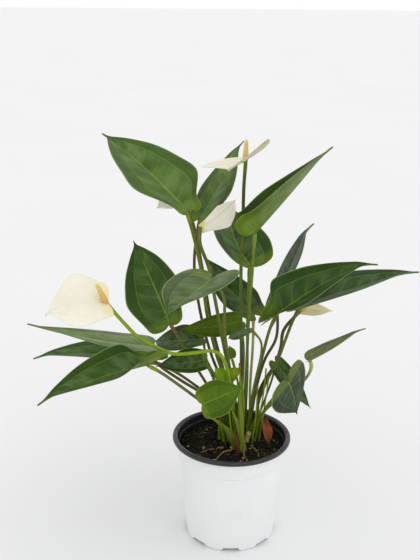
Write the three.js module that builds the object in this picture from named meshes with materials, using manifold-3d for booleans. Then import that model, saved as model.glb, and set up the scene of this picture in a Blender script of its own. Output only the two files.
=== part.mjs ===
// Potted anthurium: a white nursery pot with a black rim, its soil, twenty-two leaves on
// stalks, five blooms and the sheaths and old remains at the crown.
// Millimetres, +Z up. The origin is the middle of the pot's flat floor, which it stands on.

import * as THREE from 'three';
import * as BufferGeometryUtils from 'three/addons/utils/BufferGeometryUtils.js';
import Module from 'manifold-3d';

const wasm = await Module();
wasm.setup();

// ---- driving dimensions -------------------------------------------------------------------

const RIM_RADIUS = 60;
const POT_HEIGHT = 109;
const RIM_HEIGHT = 4.6;
const RIM_WIDTH = 3.9;
const SHOULDER_HEIGHT = 86;
const SHOULDER_RADIUS = 53.3;
const BASE_RADIUS = 45.4;
const WALL = 1.4;
const FLOOR_RISE = 4;
const FLOOR_DISC_RADIUS = 26;
const FOOT_RING_WIDTH = 2.6;
const NOTCH_COUNT = 8;
const NOTCH_WIDTH = 17;
const DRAIN_COUNT = 6;
const DRAIN_RADIUS = 4;
const DRAIN_CIRCLE = 35;
const POT_SIDES = 48;

const SOIL_TOP = 97;
const GAP = 0.3;

const BLADE_THICKNESS = 1.1;
const STALK_SIDES = 6;
const STALK_STEP = 26;
const NECK_HEIGHT = 7;
const PETIOLE_RADIUS = 1.5;
const FLOWER_STALK_RADIUS = 1.7;
const SLIM_STALK_RADIUS = 1.2;
const SPADIX_RADIUS = 2.6;
const SPADIX_TIP_RADIUS = 1.4;
const SPADIX_STANDOFF = 4.2;
const SHEATH_RADIUS = 1.8;
const STUB_RADIUS = 3;
const DEG = Math.PI / 180;

const COLOURS = {
  pot: { color: 0xf0f1f0, roughness: 0.38 },
  soil: { color: 0x17120c, roughness: 0.95 },
  leaf: { color: 0x33561e, roughness: 0.42 },
  young_leaf: { color: 0x5c7d12, roughness: 0.4 },
  stalk: { color: 0x5b7a22, roughness: 0.5 },
  bloom: { color: 0xf3efdc, roughness: 0.5 },
  spadix: { color: 0xe8cf86, roughness: 0.7 },
  dry: { color: 0x7a4a26, roughness: 0.8 },
};

// Every blade is laid from its base, where the stalk meets it, to its tip. Roll turns it about
// that line, fold lifts its left and right halves, curl bends each half on outwards, arch and
// sweep bow the midrib up and sideways as shares of its length. Lobe, widest, shoulder and
// taper shape the outline. The stalk runs from its foot in the soil by way of the points given.

const LEAVES = [
  {
    name: 'upper_left', base: [-46, 5, 341], tip: [-132, 86, 400], width: 81, roll: -13,
    fold: [29, 18], curl: -18, arch: 0.04, sweep: -0.01, lobe: 0.05, widest: 0.25,
    shoulder: 0.46, taper: 1.21, foot: [-3, 35],
    via: [[-2, 33, 136], [-16, 30, 183], [-26, 26, 228], [-32, 18, 276], [-39, 8, 313]],
  },
  {
    name: 'upper_centre', base: [-34, 25, 328], tip: [5, 64, 398], width: 47, roll: 4,
    fold: [4, 50], curl: -20, arch: 0, sweep: 0.04, lobe: 0.07, widest: 0.32,
    shoulder: 0.73, taper: 1, foot: [3, 42],
    via: [[-3, 42, 132], [-21, 43, 177], [-33, 43, 225], [-39, 36, 272], [-38, 30, 300]],
  },
  {
    name: 'left_mid', base: [-62, -12, 233], tip: [-100, 40, 301], width: 64, roll: -55,
    fold: [27, 26], curl: -7, arch: 0, sweep: 0.01, lobe: 0.06, widest: 0.32,
    shoulder: 0.75, taper: 1.15, foot: [-4, 23],
    via: [[-25, 20, 153], [-43, 12, 187], [-54, -2, 215]],
  },
  {
    name: 'centre_front', base: [-22, -32, 285], tip: [-60, -126, 285], width: 61, roll: 2,
    fold: [22, 17], curl: -13, arch: 0, sweep: -0.02, lobe: 0.16, widest: 0.32,
    shoulder: 0.98, taper: 1.2, foot: [10, 6],
    via: [[-2, -6, 177], [-9, -20, 230], [-11, -29, 268]],
  },
  {
    name: 'centre_dark', base: [22, 44, 223], tip: [-29, 98, 269], width: 49, roll: -8,
    fold: [19, 12], curl: -13, arch: 0, sweep: -0.04, lobe: 0.09, widest: 0.24,
    shoulder: 0.74, taper: 1.07, foot: [21, 38],
    via: [[20, 40, 140], [22, 44, 190]],
  },
  {
    name: 'mid_back', base: [16, 30, 279], tip: [-2, 123, 321], width: 65, roll: 1,
    fold: [35, 23], curl: -1, arch: 0, sweep: -0.07, lobe: 0.07, widest: 0.23,
    shoulder: 0.91, taper: 1, foot: [15, 33],
    via: [[16, 28, 162], [15, 25, 214], [15, 25, 250]],
  },
  {
    name: 'upper_right', base: [18, -10, 323], tip: [86, 19, 399], width: 56, roll: -4,
    fold: [40, 60], curl: -17, arch: 0, sweep: 0.02, lobe: 0.09, widest: 0.1,
    shoulder: 1.12, taper: 0.86, foot: [12, 17],
    via: [[14, 8, 176], [15, -2, 239], [17, -7, 287]],
  },
  {
    name: 'right_upright', base: [44, 32, 243], tip: [79, 79, 312], width: 56, roll: -40,
    fold: [11, 16], curl: -17, arch: 0, sweep: 0.02, lobe: 0.12, widest: 0.42,
    shoulder: 0.9, taper: 1, foot: [20, 26],
    via: [[27, 28, 153], [34, 29, 179], [45, 30, 203]],
  },
  {
    name: 'right_front', base: [40, -22, 246], tip: [136, 8, 293], width: 59, roll: 14,
    fold: [34, 29], curl: -7, arch: 0.05, sweep: 0, lobe: 0.16, widest: 0.15,
    shoulder: 0.55, taper: 0.89, foot: [19, 17],
    via: [[23, 4, 161], [28, -8, 194], [35, -20, 233]],
  },
  {
    name: 'right_back', base: [66, 18, 241], tip: [184, 34, 276], width: 63, roll: 1,
    fold: [18, 21], curl: -8, arch: 0.01, sweep: 0.01, lobe: 0.12, widest: 0.37,
    shoulder: 0.89, taper: 0.96, foot: [25, 18],
    via: [[28, 11, 141], [38, 2, 175], [46, -2, 196], [50, -1, 208], [59, 12, 227]],
  },
  {
    name: 'heart_front', base: [52, -42, 186], tip: [65, -9, 136], width: 54, roll: 101,
    fold: [8, -10], curl: -8, arch: 0.01, sweep: -0.02, lobe: 0.21, widest: 0.19,
    shoulder: 1, taper: 0.98, foot: [22, 7],
    via: [[34, -12, 145], [45, -30, 170]],
  },
  {
    name: 'right_low', base: [77, 4, 189], tip: [129, 16, 221], width: 33, roll: -6,
    fold: [14, 24], curl: -5, arch: -0.02, sweep: 0.04, lobe: 0.06, widest: 0.13,
    shoulder: 1.03, taper: 0.97, foot: [29, 11],
    via: [[33, 7, 130], [54, 4, 151], [74, 3, 170], [79, 4, 182]],
  },
  {
    name: 'low_left', base: [-81, -52, 207], tip: [-180, -72, 178], width: 56, roll: -10,
    fold: [24, 31], curl: -3, arch: 0.04, sweep: -0.02, lobe: 0.2, widest: 0.18,
    shoulder: 0.52, taper: 1.1, foot: [-2, 12],
    via: [[-17, -8, 137], [-38, -26, 163], [-69, -47, 197]],
  },
  {
    name: 'long_left', base: [-85, 4, 203], tip: [-195, -8, 229], width: 57, roll: 0,
    fold: [21, 10], curl: -19, arch: -0.02, sweep: -0.03, lobe: 0.09, widest: 0.21,
    shoulder: 1.04, taper: 1, foot: [-9, 16],
    via: [[-14, 8, 137], [-32, 4, 153], [-52, 0, 168], [-75, 0, 186]],
  },
  {
    name: 'back_left', base: [-84, 22, 180], tip: [-206, 30, 180], width: 54, roll: -3,
    fold: [16, 14], curl: 2, arch: 0.04, sweep: 0, lobe: 0.14, widest: 0.26,
    shoulder: 0.92, taper: 1.06, foot: [-9, 30],
    via: [[-12, 28, 131], [-33, 26, 147], [-58, 22, 167]],
  },
  {
    name: 'dark_low', base: [-27, -18, 197], tip: [-75, -22, 192], width: 30, roll: -36,
    fold: [20, 15], curl: -9, arch: 0.06, sweep: -0.03, lobe: 0.06, widest: 0.28,
    shoulder: 0.85, taper: 1.08, foot: [-12, 9],
    via: [[-12, 1, 143], [-18, -10, 172]],
  },
  {
    name: 'young', base: [7, 15, 226], tip: [-55, 12, 218], width: 24, roll: -60,
    fold: [12, 8], curl: 1, arch: 0.02, sweep: -0.04, lobe: 0.07, widest: 0.28,
    shoulder: 0.91, taper: 1.08, foot: [8, 32], tone: 'young_leaf',
    via: [[11, 26, 151], [11, 20, 198]],
  },
  {
    name: 'round_front', base: [-29, -46, 164], tip: [9, -51, 185], width: 35, roll: 66,
    fold: [6, 3], curl: -8, arch: 0.03, sweep: 0, lobe: 0.09, widest: 0.36,
    shoulder: 0.92, taper: 1.01, foot: [-8, 1], tone: 'young_leaf',
    via: [[-13, -16, 128], [-25, -35, 149]],
  },
];

// Leaves too small to be worth two pieces are one piece with their stalk.

const SMALL_LEAVES = [
  {
    name: 'leaf_heart_back', base: [45, 19, 179], tip: [83, 21, 127], width: 20, roll: 70,
    fold: [11, 10], curl: -5, arch: 0.04, sweep: 0.01, lobe: 0.1, widest: 0.26,
    shoulder: 0.9, taper: 1, foot: [27, 31], via: [[34, 26, 132], [41, 20, 160]],
  },
  {
    name: 'leaf_dark_high', base: [-30, 24, 203], tip: [-82, 64, 184], width: 34, roll: -42,
    fold: [25, 23], curl: -8, arch: 0.07, sweep: -0.06, lobe: 0.09, widest: 0.32,
    shoulder: 0.83, taper: 1.09, foot: [-6, 42], via: [[-10, 38, 140], [-26, 28, 179]],
  },
  {
    name: 'leaf_narrow', base: [17, -36, 236], tip: [-6, -40, 229], width: 11, roll: -40,
    fold: [12, 12], curl: 4, arch: 0.03, sweep: 0, lobe: 0.05, widest: 0.6,
    shoulder: 0.5, taper: 1.5, foot: [16, 9], via: [[21, -2, 159], [27, -18, 214]],
  },
  {
    name: 'leaf_bright', base: [-1, -2, 194], tip: [-4, 2, 205], width: 11, roll: 0,
    fold: [10, 10], curl: -6, arch: 0.05, sweep: 0, lobe: 0.12, widest: 0.35,
    shoulder: 0.9, taper: 1, foot: [3, 11], tone: 'young_leaf', via: [[7, 5, 150], [3, -1, 178]],
  },
];

// A bloom is a hood with a finger of tiny flowers. The small ones are whole with their stalk.

const BLOOMS = [
  {
    name: 'a', base: [-116, -66, 273], tip: [-168, -74, 266], width: 54, roll: -46,
    fold: [9, 6], curl: 19, arch: 0.14, sweep: -0.01, lobe: 0.07, widest: 0.4,
    shoulder: 0.72, taper: 1, foot: [4, 6], spadix: [-122, -78, 294],
    via: [[-2, -14, 166], [-8, -26, 198], [-14, -29, 209], [-22, -32, 213], [-37, -37, 213],
      [-57, -42, 214], [-76, -48, 225], [-89, -53, 235], [-99, -58, 248]],
  },
  {
    name: 'b', base: [9, 8, 389], tip: [-7, -72, 398], width: 67, roll: 16,
    fold: [15, 14], curl: 6, arch: 0, sweep: 0.03, lobe: 0.18, widest: 0.27,
    shoulder: 0.94, taper: 1.03, foot: [8, 24], spadix: [9, 0, 409],
    via: [[9, 10, 184], [7, 4, 248], [7, 15, 306], [8, 18, 332], [8, 13, 362]],
  },
  {
    name: 'c', base: [-33, -5, 327], tip: [7, -5, 354], width: 34, roll: -108,
    fold: [4, 50], curl: -6, arch: 0, sweep: -0.03, lobe: 0.02, widest: 0.5,
    shoulder: 0.5, taper: 1.25, foot: [1, 29], spadix: [-12, 8, 337],
    via: [[-3, 14, 167], [-12, -3, 221], [-19, -4, 259], [-25, -6, 289], [-33, -13, 314]],
  },
  {
    name: 'd', whole: true, base: [-56, 62, 344], tip: [-78, 54, 331], width: 22, roll: -60,
    fold: [8, 8], curl: 8, arch: 0.06, sweep: 0, lobe: 0.12, widest: 0.32,
    shoulder: 0.85, taper: 0.9, foot: [10, 44], spadix: [-55, 48, 351],
    via: [[-5, 48, 147], [-22, 54, 212], [-31, 60, 265], [-44, 66, 322]],
  },
  {
    name: 'e', whole: true, base: [70, 36, 231], tip: [104, 44, 227], width: 14, roll: 55,
    fold: [10, 10], curl: 8, arch: 0.05, sweep: 0, lobe: 0.12, widest: 0.3,
    shoulder: 0.85, taper: 0.95, foot: [28, 24], spadix: [74, 24, 240],
    via: [[28, 16, 146], [33, 10, 164], [43, 6, 184], [48, 8, 201], [51, 18, 215]],
  },
];

const SHEATHS = [
  { name: 'sheath_green', tone: 'stalk', along: [[9, -4, 121], [9.5, -7, 150], [9, -10, 177]] },
  { name: 'sheath_brown', tone: 'dry', along: [[9, -1, 98], [8, -3, 110], [6, -4, 122]] },
];

// The last leaf to die hangs curled up with its tip on the soil.

const DEAD_LEAF = {
  base: [33, 4, 122], tip: [38, -3, SOIL_TOP + 1.4], width: 15, roll: 12, fold: [38, 34], curl: 20,
  arch: 0.06, sweep: 0.03, lobe: 0.1, widest: 0.4, shoulder: 0.7, taper: 1,
};

const STUB = [[16, 2, SOIL_TOP + GAP], [16, 2, SOIL_TOP + 5], [18, 0, SOIL_TOP + 13]];

// ---- blades -------------------------------------------------------------------------------

// The outline from the notch at the base, round one lobe, to the tip. Along and half are shares
// of the blade's length and half width; rib is where that rib leaves the midrib.
function outline(leaf) {
  const widest = leaf.widest;
  const beyond = 1 - widest;
  const shoulder = leaf.shoulder;
  const taper = leaf.taper;
  return [
    { along: -0.72 * leaf.lobe, half: 0.13, rib: 0 },
    { along: -leaf.lobe, half: 0.42 * shoulder, rib: 0 },
    { along: -0.62 * leaf.lobe, half: 0.8 * shoulder, rib: 0 },
    { along: 0.25 * widest, half: 0.97 * shoulder + (shoulder < 1 ? 0.03 : 0), rib: 0.03 },
    { along: widest, half: 1, rib: 0.35 * widest + 0.02 },
    { along: widest + 0.26 * beyond, half: 0.9, rib: widest + 0.1 * beyond },
    { along: widest + 0.52 * beyond, half: 0.31 + 0.31 * taper, rib: widest + 0.38 * beyond },
    { along: widest + 0.76 * beyond, half: 0.3 * taper, rib: widest + 0.68 * beyond },
    { along: widest + 0.92 * beyond, half: 0.1 * taper, rib: widest + 0.88 * beyond },
    { along: 1, half: 0.012, rib: 1 },
  ];
}

// The straight line from base to tip with the directions up from the blade and across it.
function bladeFrame(leaf) {
  const base = new THREE.Vector3(...leaf.base);
  const axis = new THREE.Vector3(...leaf.tip).sub(base);
  const length = axis.length();
  axis.normalize();
  const level = new THREE.Vector3(0, 0, 1).addScaledVector(axis, -axis.z).normalize();
  const side = new THREE.Vector3().crossVectors(axis, level);
  const roll = leaf.roll * DEG;
  const up = level.multiplyScalar(Math.cos(roll)).addScaledVector(side, Math.sin(roll));
  const across = new THREE.Vector3().crossVectors(axis, up);
  return { base, axis, length, up, across };
}

function midribPoint(leaf, frame, along) {
  const ahead = Math.max(along, 0);
  const bow = 4 * ahead * (1 - ahead) + 4 * Math.min(along, 0);
  return frame.base.clone()
    .addScaledVector(frame.axis, frame.length * along)
    .addScaledVector(frame.up, frame.length * leaf.arch * bow)
    .addScaledVector(frame.across, frame.length * leaf.sweep * bow);
}

// A point of the bent blade: along the midrib, out from it by half (signed, right is positive),
// and lifted off the middle surface.
function bladePoint(leaf, frame, along, half, lift) {
  const step = 0.001;
  const tangent = midribPoint(leaf, frame, along + step)
    .sub(midribPoint(leaf, frame, along - step))
    .normalize();
  const up = frame.up.clone().addScaledVector(tangent, -frame.up.dot(tangent)).normalize();
  const across = new THREE.Vector3().crossVectors(tangent, up);
  const share = Math.abs(half);
  const fold = leaf.fold[half > 0 ? 1 : 0] * DEG;
  const bend = leaf.curl * DEG * share / 2;
  const chord = leaf.width / 2 * share * (Math.abs(bend) < 1e-6 ? 1 : Math.sin(bend) / bend);
  return midribPoint(leaf, frame, along)
    .addScaledVector(across, Math.sign(half) * chord * Math.cos(fold + bend))
    .addScaledVector(up, chord * Math.sin(fold + bend) + lift);
}

// A closed blade: two skins of ribs, each rib with its midrib point, a middle and an edge point.
function bladeGeometry(leaf) {
  const frame = bladeFrame(leaf);
  const shares = [-1, -0.5, 0, 0.5, 1];
  const rows = outline(leaf);
  const skin = (lift) => rows.map((row) => shares.map((share) => {
    const along = row.rib + (row.along - row.rib) * Math.abs(share);
    return bladePoint(leaf, frame, along, row.half * share, lift);
  }));
  const triangles = [];
  const quad = (a, b, c, d) => triangles.push([a, b, c], [a, c, d]);
  const top = skin(BLADE_THICKNESS / 2);
  const bottom = skin(-BLADE_THICKNESS / 2);
  const last = shares.length - 1;
  for (let r = 0; r + 1 < rows.length; r += 1) {
    for (let s = 0; s < last; s += 1) {
      quad(top[r][s], top[r][s + 1], top[r + 1][s + 1], top[r + 1][s]);
      quad(bottom[r][s], bottom[r + 1][s], bottom[r + 1][s + 1], bottom[r][s + 1]);
    }
    quad(top[r][0], top[r + 1][0], bottom[r + 1][0], bottom[r][0]);
    quad(top[r][last], bottom[r][last], bottom[r + 1][last], top[r + 1][last]);
  }
  const tip = rows.length - 1;
  for (let s = 0; s < last; s += 1) {
    quad(top[0][s], bottom[0][s], bottom[0][s + 1], top[0][s + 1]);
    quad(top[tip][s], top[tip][s + 1], bottom[tip][s + 1], bottom[tip][s]);
  }
  return closedGeometry(triangles);
}

// Triangles of points become one mesh with shared corners; those with no area are left out.
function closedGeometry(triangles) {
  const smallestArea = 1e-7;
  const positions = [];
  const edgeA = new THREE.Vector3();
  const edgeB = new THREE.Vector3();
  for (const [a, b, c] of triangles) {
    edgeA.subVectors(b, a);
    edgeB.subVectors(c, a);
    if (edgeA.cross(edgeB).length() > smallestArea) {
      positions.push(...a.toArray(), ...b.toArray(), ...c.toArray());
    }
  }
  const geometry = new THREE.BufferGeometry();
  geometry.setAttribute('position', new THREE.Float32BufferAttribute(positions, 3));
  return BufferGeometryUtils.mergeVertices(geometry, 1e-4);
}

// ---- stalks -------------------------------------------------------------------------------

// A closed tube through the points, its radius given by a function of the share of its length.
function tubeGeometry(points, radiusAt, sides = STALK_SIDES) {
  const curve = new THREE.CatmullRomCurve3(points, false, 'centripetal');
  const steps = Math.max(4, Math.round(curve.getLength() / STALK_STEP));
  const frames = curve.computeFrenetFrames(steps, false);
  const rings = [];
  for (let i = 0; i <= steps; i += 1) {
    const centre = curve.getPointAt(i / steps);
    const radius = radiusAt(i / steps);
    const ring = [];
    for (let k = 0; k < sides; k += 1) {
      const angle = (2 * Math.PI * k) / sides;
      ring.push(centre.clone()
        .addScaledVector(frames.normals[i], radius * Math.cos(angle))
        .addScaledVector(frames.binormals[i], radius * Math.sin(angle)));
    }
    rings.push(ring);
  }
  const triangles = [];
  for (let k = 0; k < sides; k += 1) {
    const next = (k + 1) % sides;
    for (let i = 0; i < steps; i += 1) {
      triangles.push([rings[i][k], rings[i][next], rings[i + 1][next]]);
      triangles.push([rings[i][k], rings[i + 1][next], rings[i + 1][k]]);
    }
  }
  for (let k = 1; k + 1 < sides; k += 1) {
    triangles.push([rings[0][0], rings[0][k + 1], rings[0][k]]);
    triangles.push([rings[steps][0], rings[steps][k], rings[steps][k + 1]]);
  }
  return closedGeometry(triangles);
}

// The stalk ends just under the blade, so the two touch without sharing space.
function stalkPoints(leaf, reach) {
  const frame = bladeFrame(leaf);
  const end = frame.base.clone().addScaledVector(frame.up, -reach);
  const foot = new THREE.Vector3(leaf.foot[0], leaf.foot[1], SOIL_TOP + GAP);
  const neck = foot.clone().setZ(foot.z + NECK_HEIGHT);
  return [foot, neck, ...leaf.via.map((point) => new THREE.Vector3(...point)), end];
}

// Stalks are stout at the foot, slim along their length and thicken to a joint under the blade.
function stalkRadius(middle) {
  const footExtra = 0.5 * middle;
  const jointExtra = 0.15 * middle;
  const footShare = 0.25;
  const jointShare = 0.08;
  return (share) => {
    const low = Math.max(0, 1 - share / footShare);
    const high = Math.max(0, (share - 1 + jointShare) / jointShare);
    return middle + footExtra * low * low + jointExtra * high;
  };
}

function stalkGeometry(leaf, middle) {
  const reach = 1.15 * middle + BLADE_THICKNESS / 2 + GAP;
  return tubeGeometry(stalkPoints(leaf, reach), stalkRadius(middle));
}

// A blade joined with its stalk, which runs right up into it.
function leafAndStalk(leaf, middle) {
  return joined(bladeGeometry(leaf), tubeGeometry(stalkPoints(leaf, 0), stalkRadius(middle)));
}

// A bloom's finger: a blunt tapered spike that stands on the base of its hood.
function spadixGeometry(bloom) {
  const frame = bladeFrame(bloom);
  const tip = new THREE.Vector3(...bloom.spadix);
  const start = frame.base.clone().addScaledVector(frame.up, SPADIX_STANDOFF);
  const middle = start.clone().lerp(tip, 0.5);
  const slimming = SPADIX_RADIUS - SPADIX_TIP_RADIUS;
  return tubeGeometry([start, middle, tip], (share) => SPADIX_RADIUS - slimming * share, 8);
}

// ---- joining ------------------------------------------------------------------------------

function toSolid(geometry) {
  const clean = geometry.clone();
  clean.deleteAttribute('normal');
  clean.deleteAttribute('uv');
  const merged = BufferGeometryUtils.mergeVertices(clean, 1e-4);
  return new wasm.Manifold(new wasm.Mesh({
    numProp: 3,
    vertProperties: new Float32Array(merged.attributes.position.array),
    triVerts: new Uint32Array(merged.index.array),
  }));
}

function toGeometry(solid) {
  const mesh = solid.getMesh();
  const geometry = new THREE.BufferGeometry();
  const points = new Float32Array(mesh.vertProperties);
  geometry.setAttribute('position', new THREE.BufferAttribute(points, 3));
  geometry.setIndex(new THREE.BufferAttribute(new Uint32Array(mesh.triVerts), 1));
  return geometry;
}

function joined(...geometries) {
  return toGeometry(geometries.map(toSolid).reduce((sum, solid) => sum.add(solid)));
}

// ---- pot and soil -------------------------------------------------------------------------

function lathe(profile, sides) {
  const geometry = new THREE.LatheGeometry(profile.map(([r, z]) => new THREE.Vector2(r, z)), sides);
  geometry.rotateX(Math.PI / 2);
  return geometry;
}

// The inner wall leans like the outer one, a wall's thickness inside it.
function innerRadius(height) {
  const lean = (SHOULDER_RADIUS - BASE_RADIUS) / SHOULDER_HEIGHT;
  return BASE_RADIUS + lean * height - WALL;
}

function potGeometry() {
  const underRim = POT_HEIGHT - RIM_HEIGHT;
  const bodyTop = RIM_RADIUS - RIM_WIDTH;
  const ringInner = BASE_RADIUS - FOOT_RING_WIDTH;
  const ledge = SOIL_TOP + 4;
  const profile = [
    [0, 0], [FLOOR_DISC_RADIUS, 0], [FLOOR_DISC_RADIUS + 1, FLOOR_RISE],
    [ringInner - 0.6, FLOOR_RISE], [ringInner, 0], [BASE_RADIUS - 0.9, 0], [BASE_RADIUS, 1],
    [BASE_RADIUS + 0.5, 6.5], [SHOULDER_RADIUS, SHOULDER_HEIGHT - 1],
    [SHOULDER_RADIUS + 0.3, SHOULDER_HEIGHT], [SHOULDER_RADIUS + 1.1, SHOULDER_HEIGHT + 1],
    [bodyTop - 0.3, underRim - 0.6], [RIM_RADIUS - 0.9, underRim], [RIM_RADIUS, underRim + 1],
    [RIM_RADIUS, POT_HEIGHT - 1.2], [RIM_RADIUS - 1, POT_HEIGHT],
    [RIM_RADIUS - RIM_WIDTH + 0.8, POT_HEIGHT], [bodyTop - WALL, POT_HEIGHT - 1.4],
    [bodyTop - WALL - 0.6, ledge + 0.6], [innerRadius(ledge) + 0.2, ledge],
    [innerRadius(ledge) - 0.2, ledge - 1], [innerRadius(FLOOR_RISE + WALL), FLOOR_RISE + WALL],
    [FLOOR_DISC_RADIUS - 0.4, FLOOR_RISE + WALL], [FLOOR_DISC_RADIUS - 1.4, WALL], [0, WALL],
  ];
  let pot = toSolid(lathe(profile, POT_SIDES));
  for (let k = 0; k < NOTCH_COUNT; k += 1) {
    const notch = new THREE.BoxGeometry(NOTCH_WIDTH, 9, 2 * (FLOOR_RISE - 0.4));
    notch.translate(0, -(BASE_RADIUS + 0.5), 0);
    notch.rotateZ((2 * Math.PI * k) / NOTCH_COUNT);
    pot = pot.subtract(toSolid(notch));
  }
  for (let k = 0; k < DRAIN_COUNT; k += 1) {
    const drain = new THREE.CylinderGeometry(DRAIN_RADIUS, DRAIN_RADIUS, 6, 10);
    drain.rotateX(Math.PI / 2);
    drain.translate(DRAIN_CIRCLE, 0, FLOOR_RISE + WALL / 2);
    drain.rotateZ((2 * Math.PI * (k + 0.5)) / DRAIN_COUNT);
    pot = pot.subtract(toSolid(drain));
  }
  return toGeometry(pot);
}

function soilGeometry() {
  const bottom = FLOOR_RISE + WALL + GAP;
  const profile = [
    [0, bottom], [innerRadius(bottom) - GAP, bottom],
    [innerRadius(SOIL_TOP - 1) - GAP, SOIL_TOP - 1], [innerRadius(SOIL_TOP) - 3, SOIL_TOP],
    [0, SOIL_TOP],
  ];
  return lathe(profile, 32);
}

// ---- crown pieces -------------------------------------------------------------------------

function sheathGeometry(sheath) {
  const points = sheath.along.map((point) => new THREE.Vector3(...point));
  return tubeGeometry(points, (share) => SHEATH_RADIUS * (1 - 0.75 * share));
}

function stubGeometry() {
  const points = STUB.map((point) => new THREE.Vector3(...point));
  return tubeGeometry(points, (share) => STUB_RADIUS * (1 - 0.13 * share), 7);
}

// ---- the plant ----------------------------------------------------------------------------

const plant = new THREE.Group();

function add(name, geometry, tone) {
  const material = new THREE.MeshStandardMaterial({ ...COLOURS[tone], metalness: 0 });
  const mesh = new THREE.Mesh(geometry, material);
  mesh.name = name;
  plant.add(mesh);
}

add('pot', potGeometry(), 'pot');
add('soil', soilGeometry(), 'soil');

for (const leaf of LEAVES) {
  add(`leaf_${leaf.name}`, bladeGeometry(leaf), leaf.tone ?? 'leaf');
  add(`petiole_${leaf.name}`, stalkGeometry(leaf, PETIOLE_RADIUS), 'stalk');
}

for (const leaf of SMALL_LEAVES) {
  add(leaf.name, leafAndStalk(leaf, SLIM_STALK_RADIUS), leaf.tone ?? 'leaf');
}

for (const bloom of BLOOMS) {
  if (bloom.whole) {
    add(`flower_${bloom.name}`, leafAndStalk(bloom, FLOWER_STALK_RADIUS), 'bloom');
  } else {
    add(`spathe_${bloom.name}`, bladeGeometry(bloom), 'bloom');
    add(`flower_stalk_${bloom.name}`, stalkGeometry(bloom, FLOWER_STALK_RADIUS), 'stalk');
  }
  add(`spadix_${bloom.name}`, spadixGeometry(bloom), 'spadix');
}

for (const sheath of SHEATHS) {
  add(sheath.name, sheathGeometry(sheath), sheath.tone);
}

add('dead_leaf', bladeGeometry(DEAD_LEAF), 'dry');
add('cut_stub', stubGeometry(), 'stalk');

export default plant;
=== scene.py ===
"""Potted anthurium: heart-shaped leaves and cream blooms on upright stalks in a white nursery pot.

Everything is worked out in millimetres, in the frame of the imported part, and made in metres.
"""

import math

import bpy
import numpy as np
from mathutils import Matrix, Vector, noise


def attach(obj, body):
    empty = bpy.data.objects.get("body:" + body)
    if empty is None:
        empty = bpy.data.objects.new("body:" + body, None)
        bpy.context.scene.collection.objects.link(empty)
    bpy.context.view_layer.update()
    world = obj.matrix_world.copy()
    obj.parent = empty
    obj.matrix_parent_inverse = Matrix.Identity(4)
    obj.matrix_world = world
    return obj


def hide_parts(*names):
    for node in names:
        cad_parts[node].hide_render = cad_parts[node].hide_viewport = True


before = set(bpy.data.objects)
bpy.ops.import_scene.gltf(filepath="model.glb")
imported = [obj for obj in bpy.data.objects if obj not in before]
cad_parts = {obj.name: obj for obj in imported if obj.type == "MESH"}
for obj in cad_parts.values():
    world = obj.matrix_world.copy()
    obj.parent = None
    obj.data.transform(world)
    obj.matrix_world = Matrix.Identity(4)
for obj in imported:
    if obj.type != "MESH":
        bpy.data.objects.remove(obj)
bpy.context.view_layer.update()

MM = 0.001
SOIL_TOP = 97.0
RIM_RADIUS = 60.0
POT_HEIGHT = 109.0
RIM_HEIGHT = 4.6
RIM_WIDTH = 3.9
SHOULDER_HEIGHT = 86.0
SHOULDER_RADIUS = 53.3
BASE_RADIUS = 45.4
WALL = 1.4
FLOOR_RISE = 4.0
FLOOR_DISC_RADIUS = 26.0
FOOT_RING_WIDTH = 2.6
NOTCH_COUNT = 8
DRAIN_COUNT = 6
DRAIN_RADIUS = 4.0
DRAIN_CIRCLE = 35.0
POT_SIDES = 160
BARE_PLASTIC = (0.8, 0.8, 0.8)

NOTCH_FOOT = 10.2
NOTCH_WAIST = 10.0
NOTCH_TOP = 7.2
MOULD_OFFSET = 0.35

BLADE_THICKNESS = 0.55
SPATHE_THICKNESS = 0.9
DRY_THICKNESS = 0.4
EDGE_THINNING = 0.55
COLUMN_CROWDING = 0.92
RIB_KEEL = 0.9
LEAF_QUILT = 0.36
SPATHE_QUILT = 0.28
DRY_QUILT = 1.4
OUTLINE_STEPS = 9
TIP_HALF_WIDTH = 0.012
VEIN_PLACE = 0.63
VEINS_PER_STEP = 1.5
LONG_VEIN_SHARE = 0.5
SIDE_VEIN_SHARE = 0.3
# Strength of the painted grey sheen, a grey-green mixed into the leaf colour in place of the reflection of
# the bright sky.
PAINTED_SHEEN_SHARE = 0.2
VEIN_SWEEP = 0.45
HOOK_START = 0.8
CUP_REACH = 0.35
PETIOLE_RADIUS = 1.5
FLOWER_STALK_RADIUS = 1.7
SLIM_STALK_RADIUS = 1.1
SHOOT_RADIUS = 0.75
STUB_RADIUS = 2.6
BUD_RADIUS = 1.0
ROOT_RADIUS = 0.85
NECK_HEIGHT = 7.0
STALK_SINK = 4.0
STALK_STEP = 2.5

SPADIX_FOOT_RADIUS = 2.9
SPADIX_TAPER = 1.2
KNOBS_ROUND = 8
KNOB_LENGTH = 1.9
KNOB_SWELL = 0.1
SHEATH_OPENING = 2.2
SHEATH_HALF_WALL = 0.28
CRUMB_COUNT = 1100
FIBRE_COUNT = 110
SEED = 11

# ---- colours, as they look in flat light, save those that carry painted light -------------

DEEP = (40, 72, 12)
FOREST = (50, 82, 16)
MOSS = (68, 100, 28)
SATIN = (76, 102, 42)
PALE_GREY = (100, 124, 64)
FRESH = (74, 104, 0)
UNDER = (92, 116, 52)
UNDER_PALE = (118, 136, 84)
UNDER_LIT = (88, 118, 22)

OLIVE = (100, 108, 40)
LIME = (128, 146, 22)
LEAF_GREEN = (104, 126, 34)
DARK_GREEN = (84, 104, 30)
BARK = (96, 84, 38)
ROSE = (128, 98, 58)
GRASS = (134, 158, 22)
CHALK = (176, 182, 128)
STRAW = (196, 178, 116)

CREAM = (240, 236, 218)
BUTTER = (238, 224, 150)
IVORY = (226, 222, 196)
CELERY = (176, 182, 104)
PEARL = (250, 248, 232)

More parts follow.
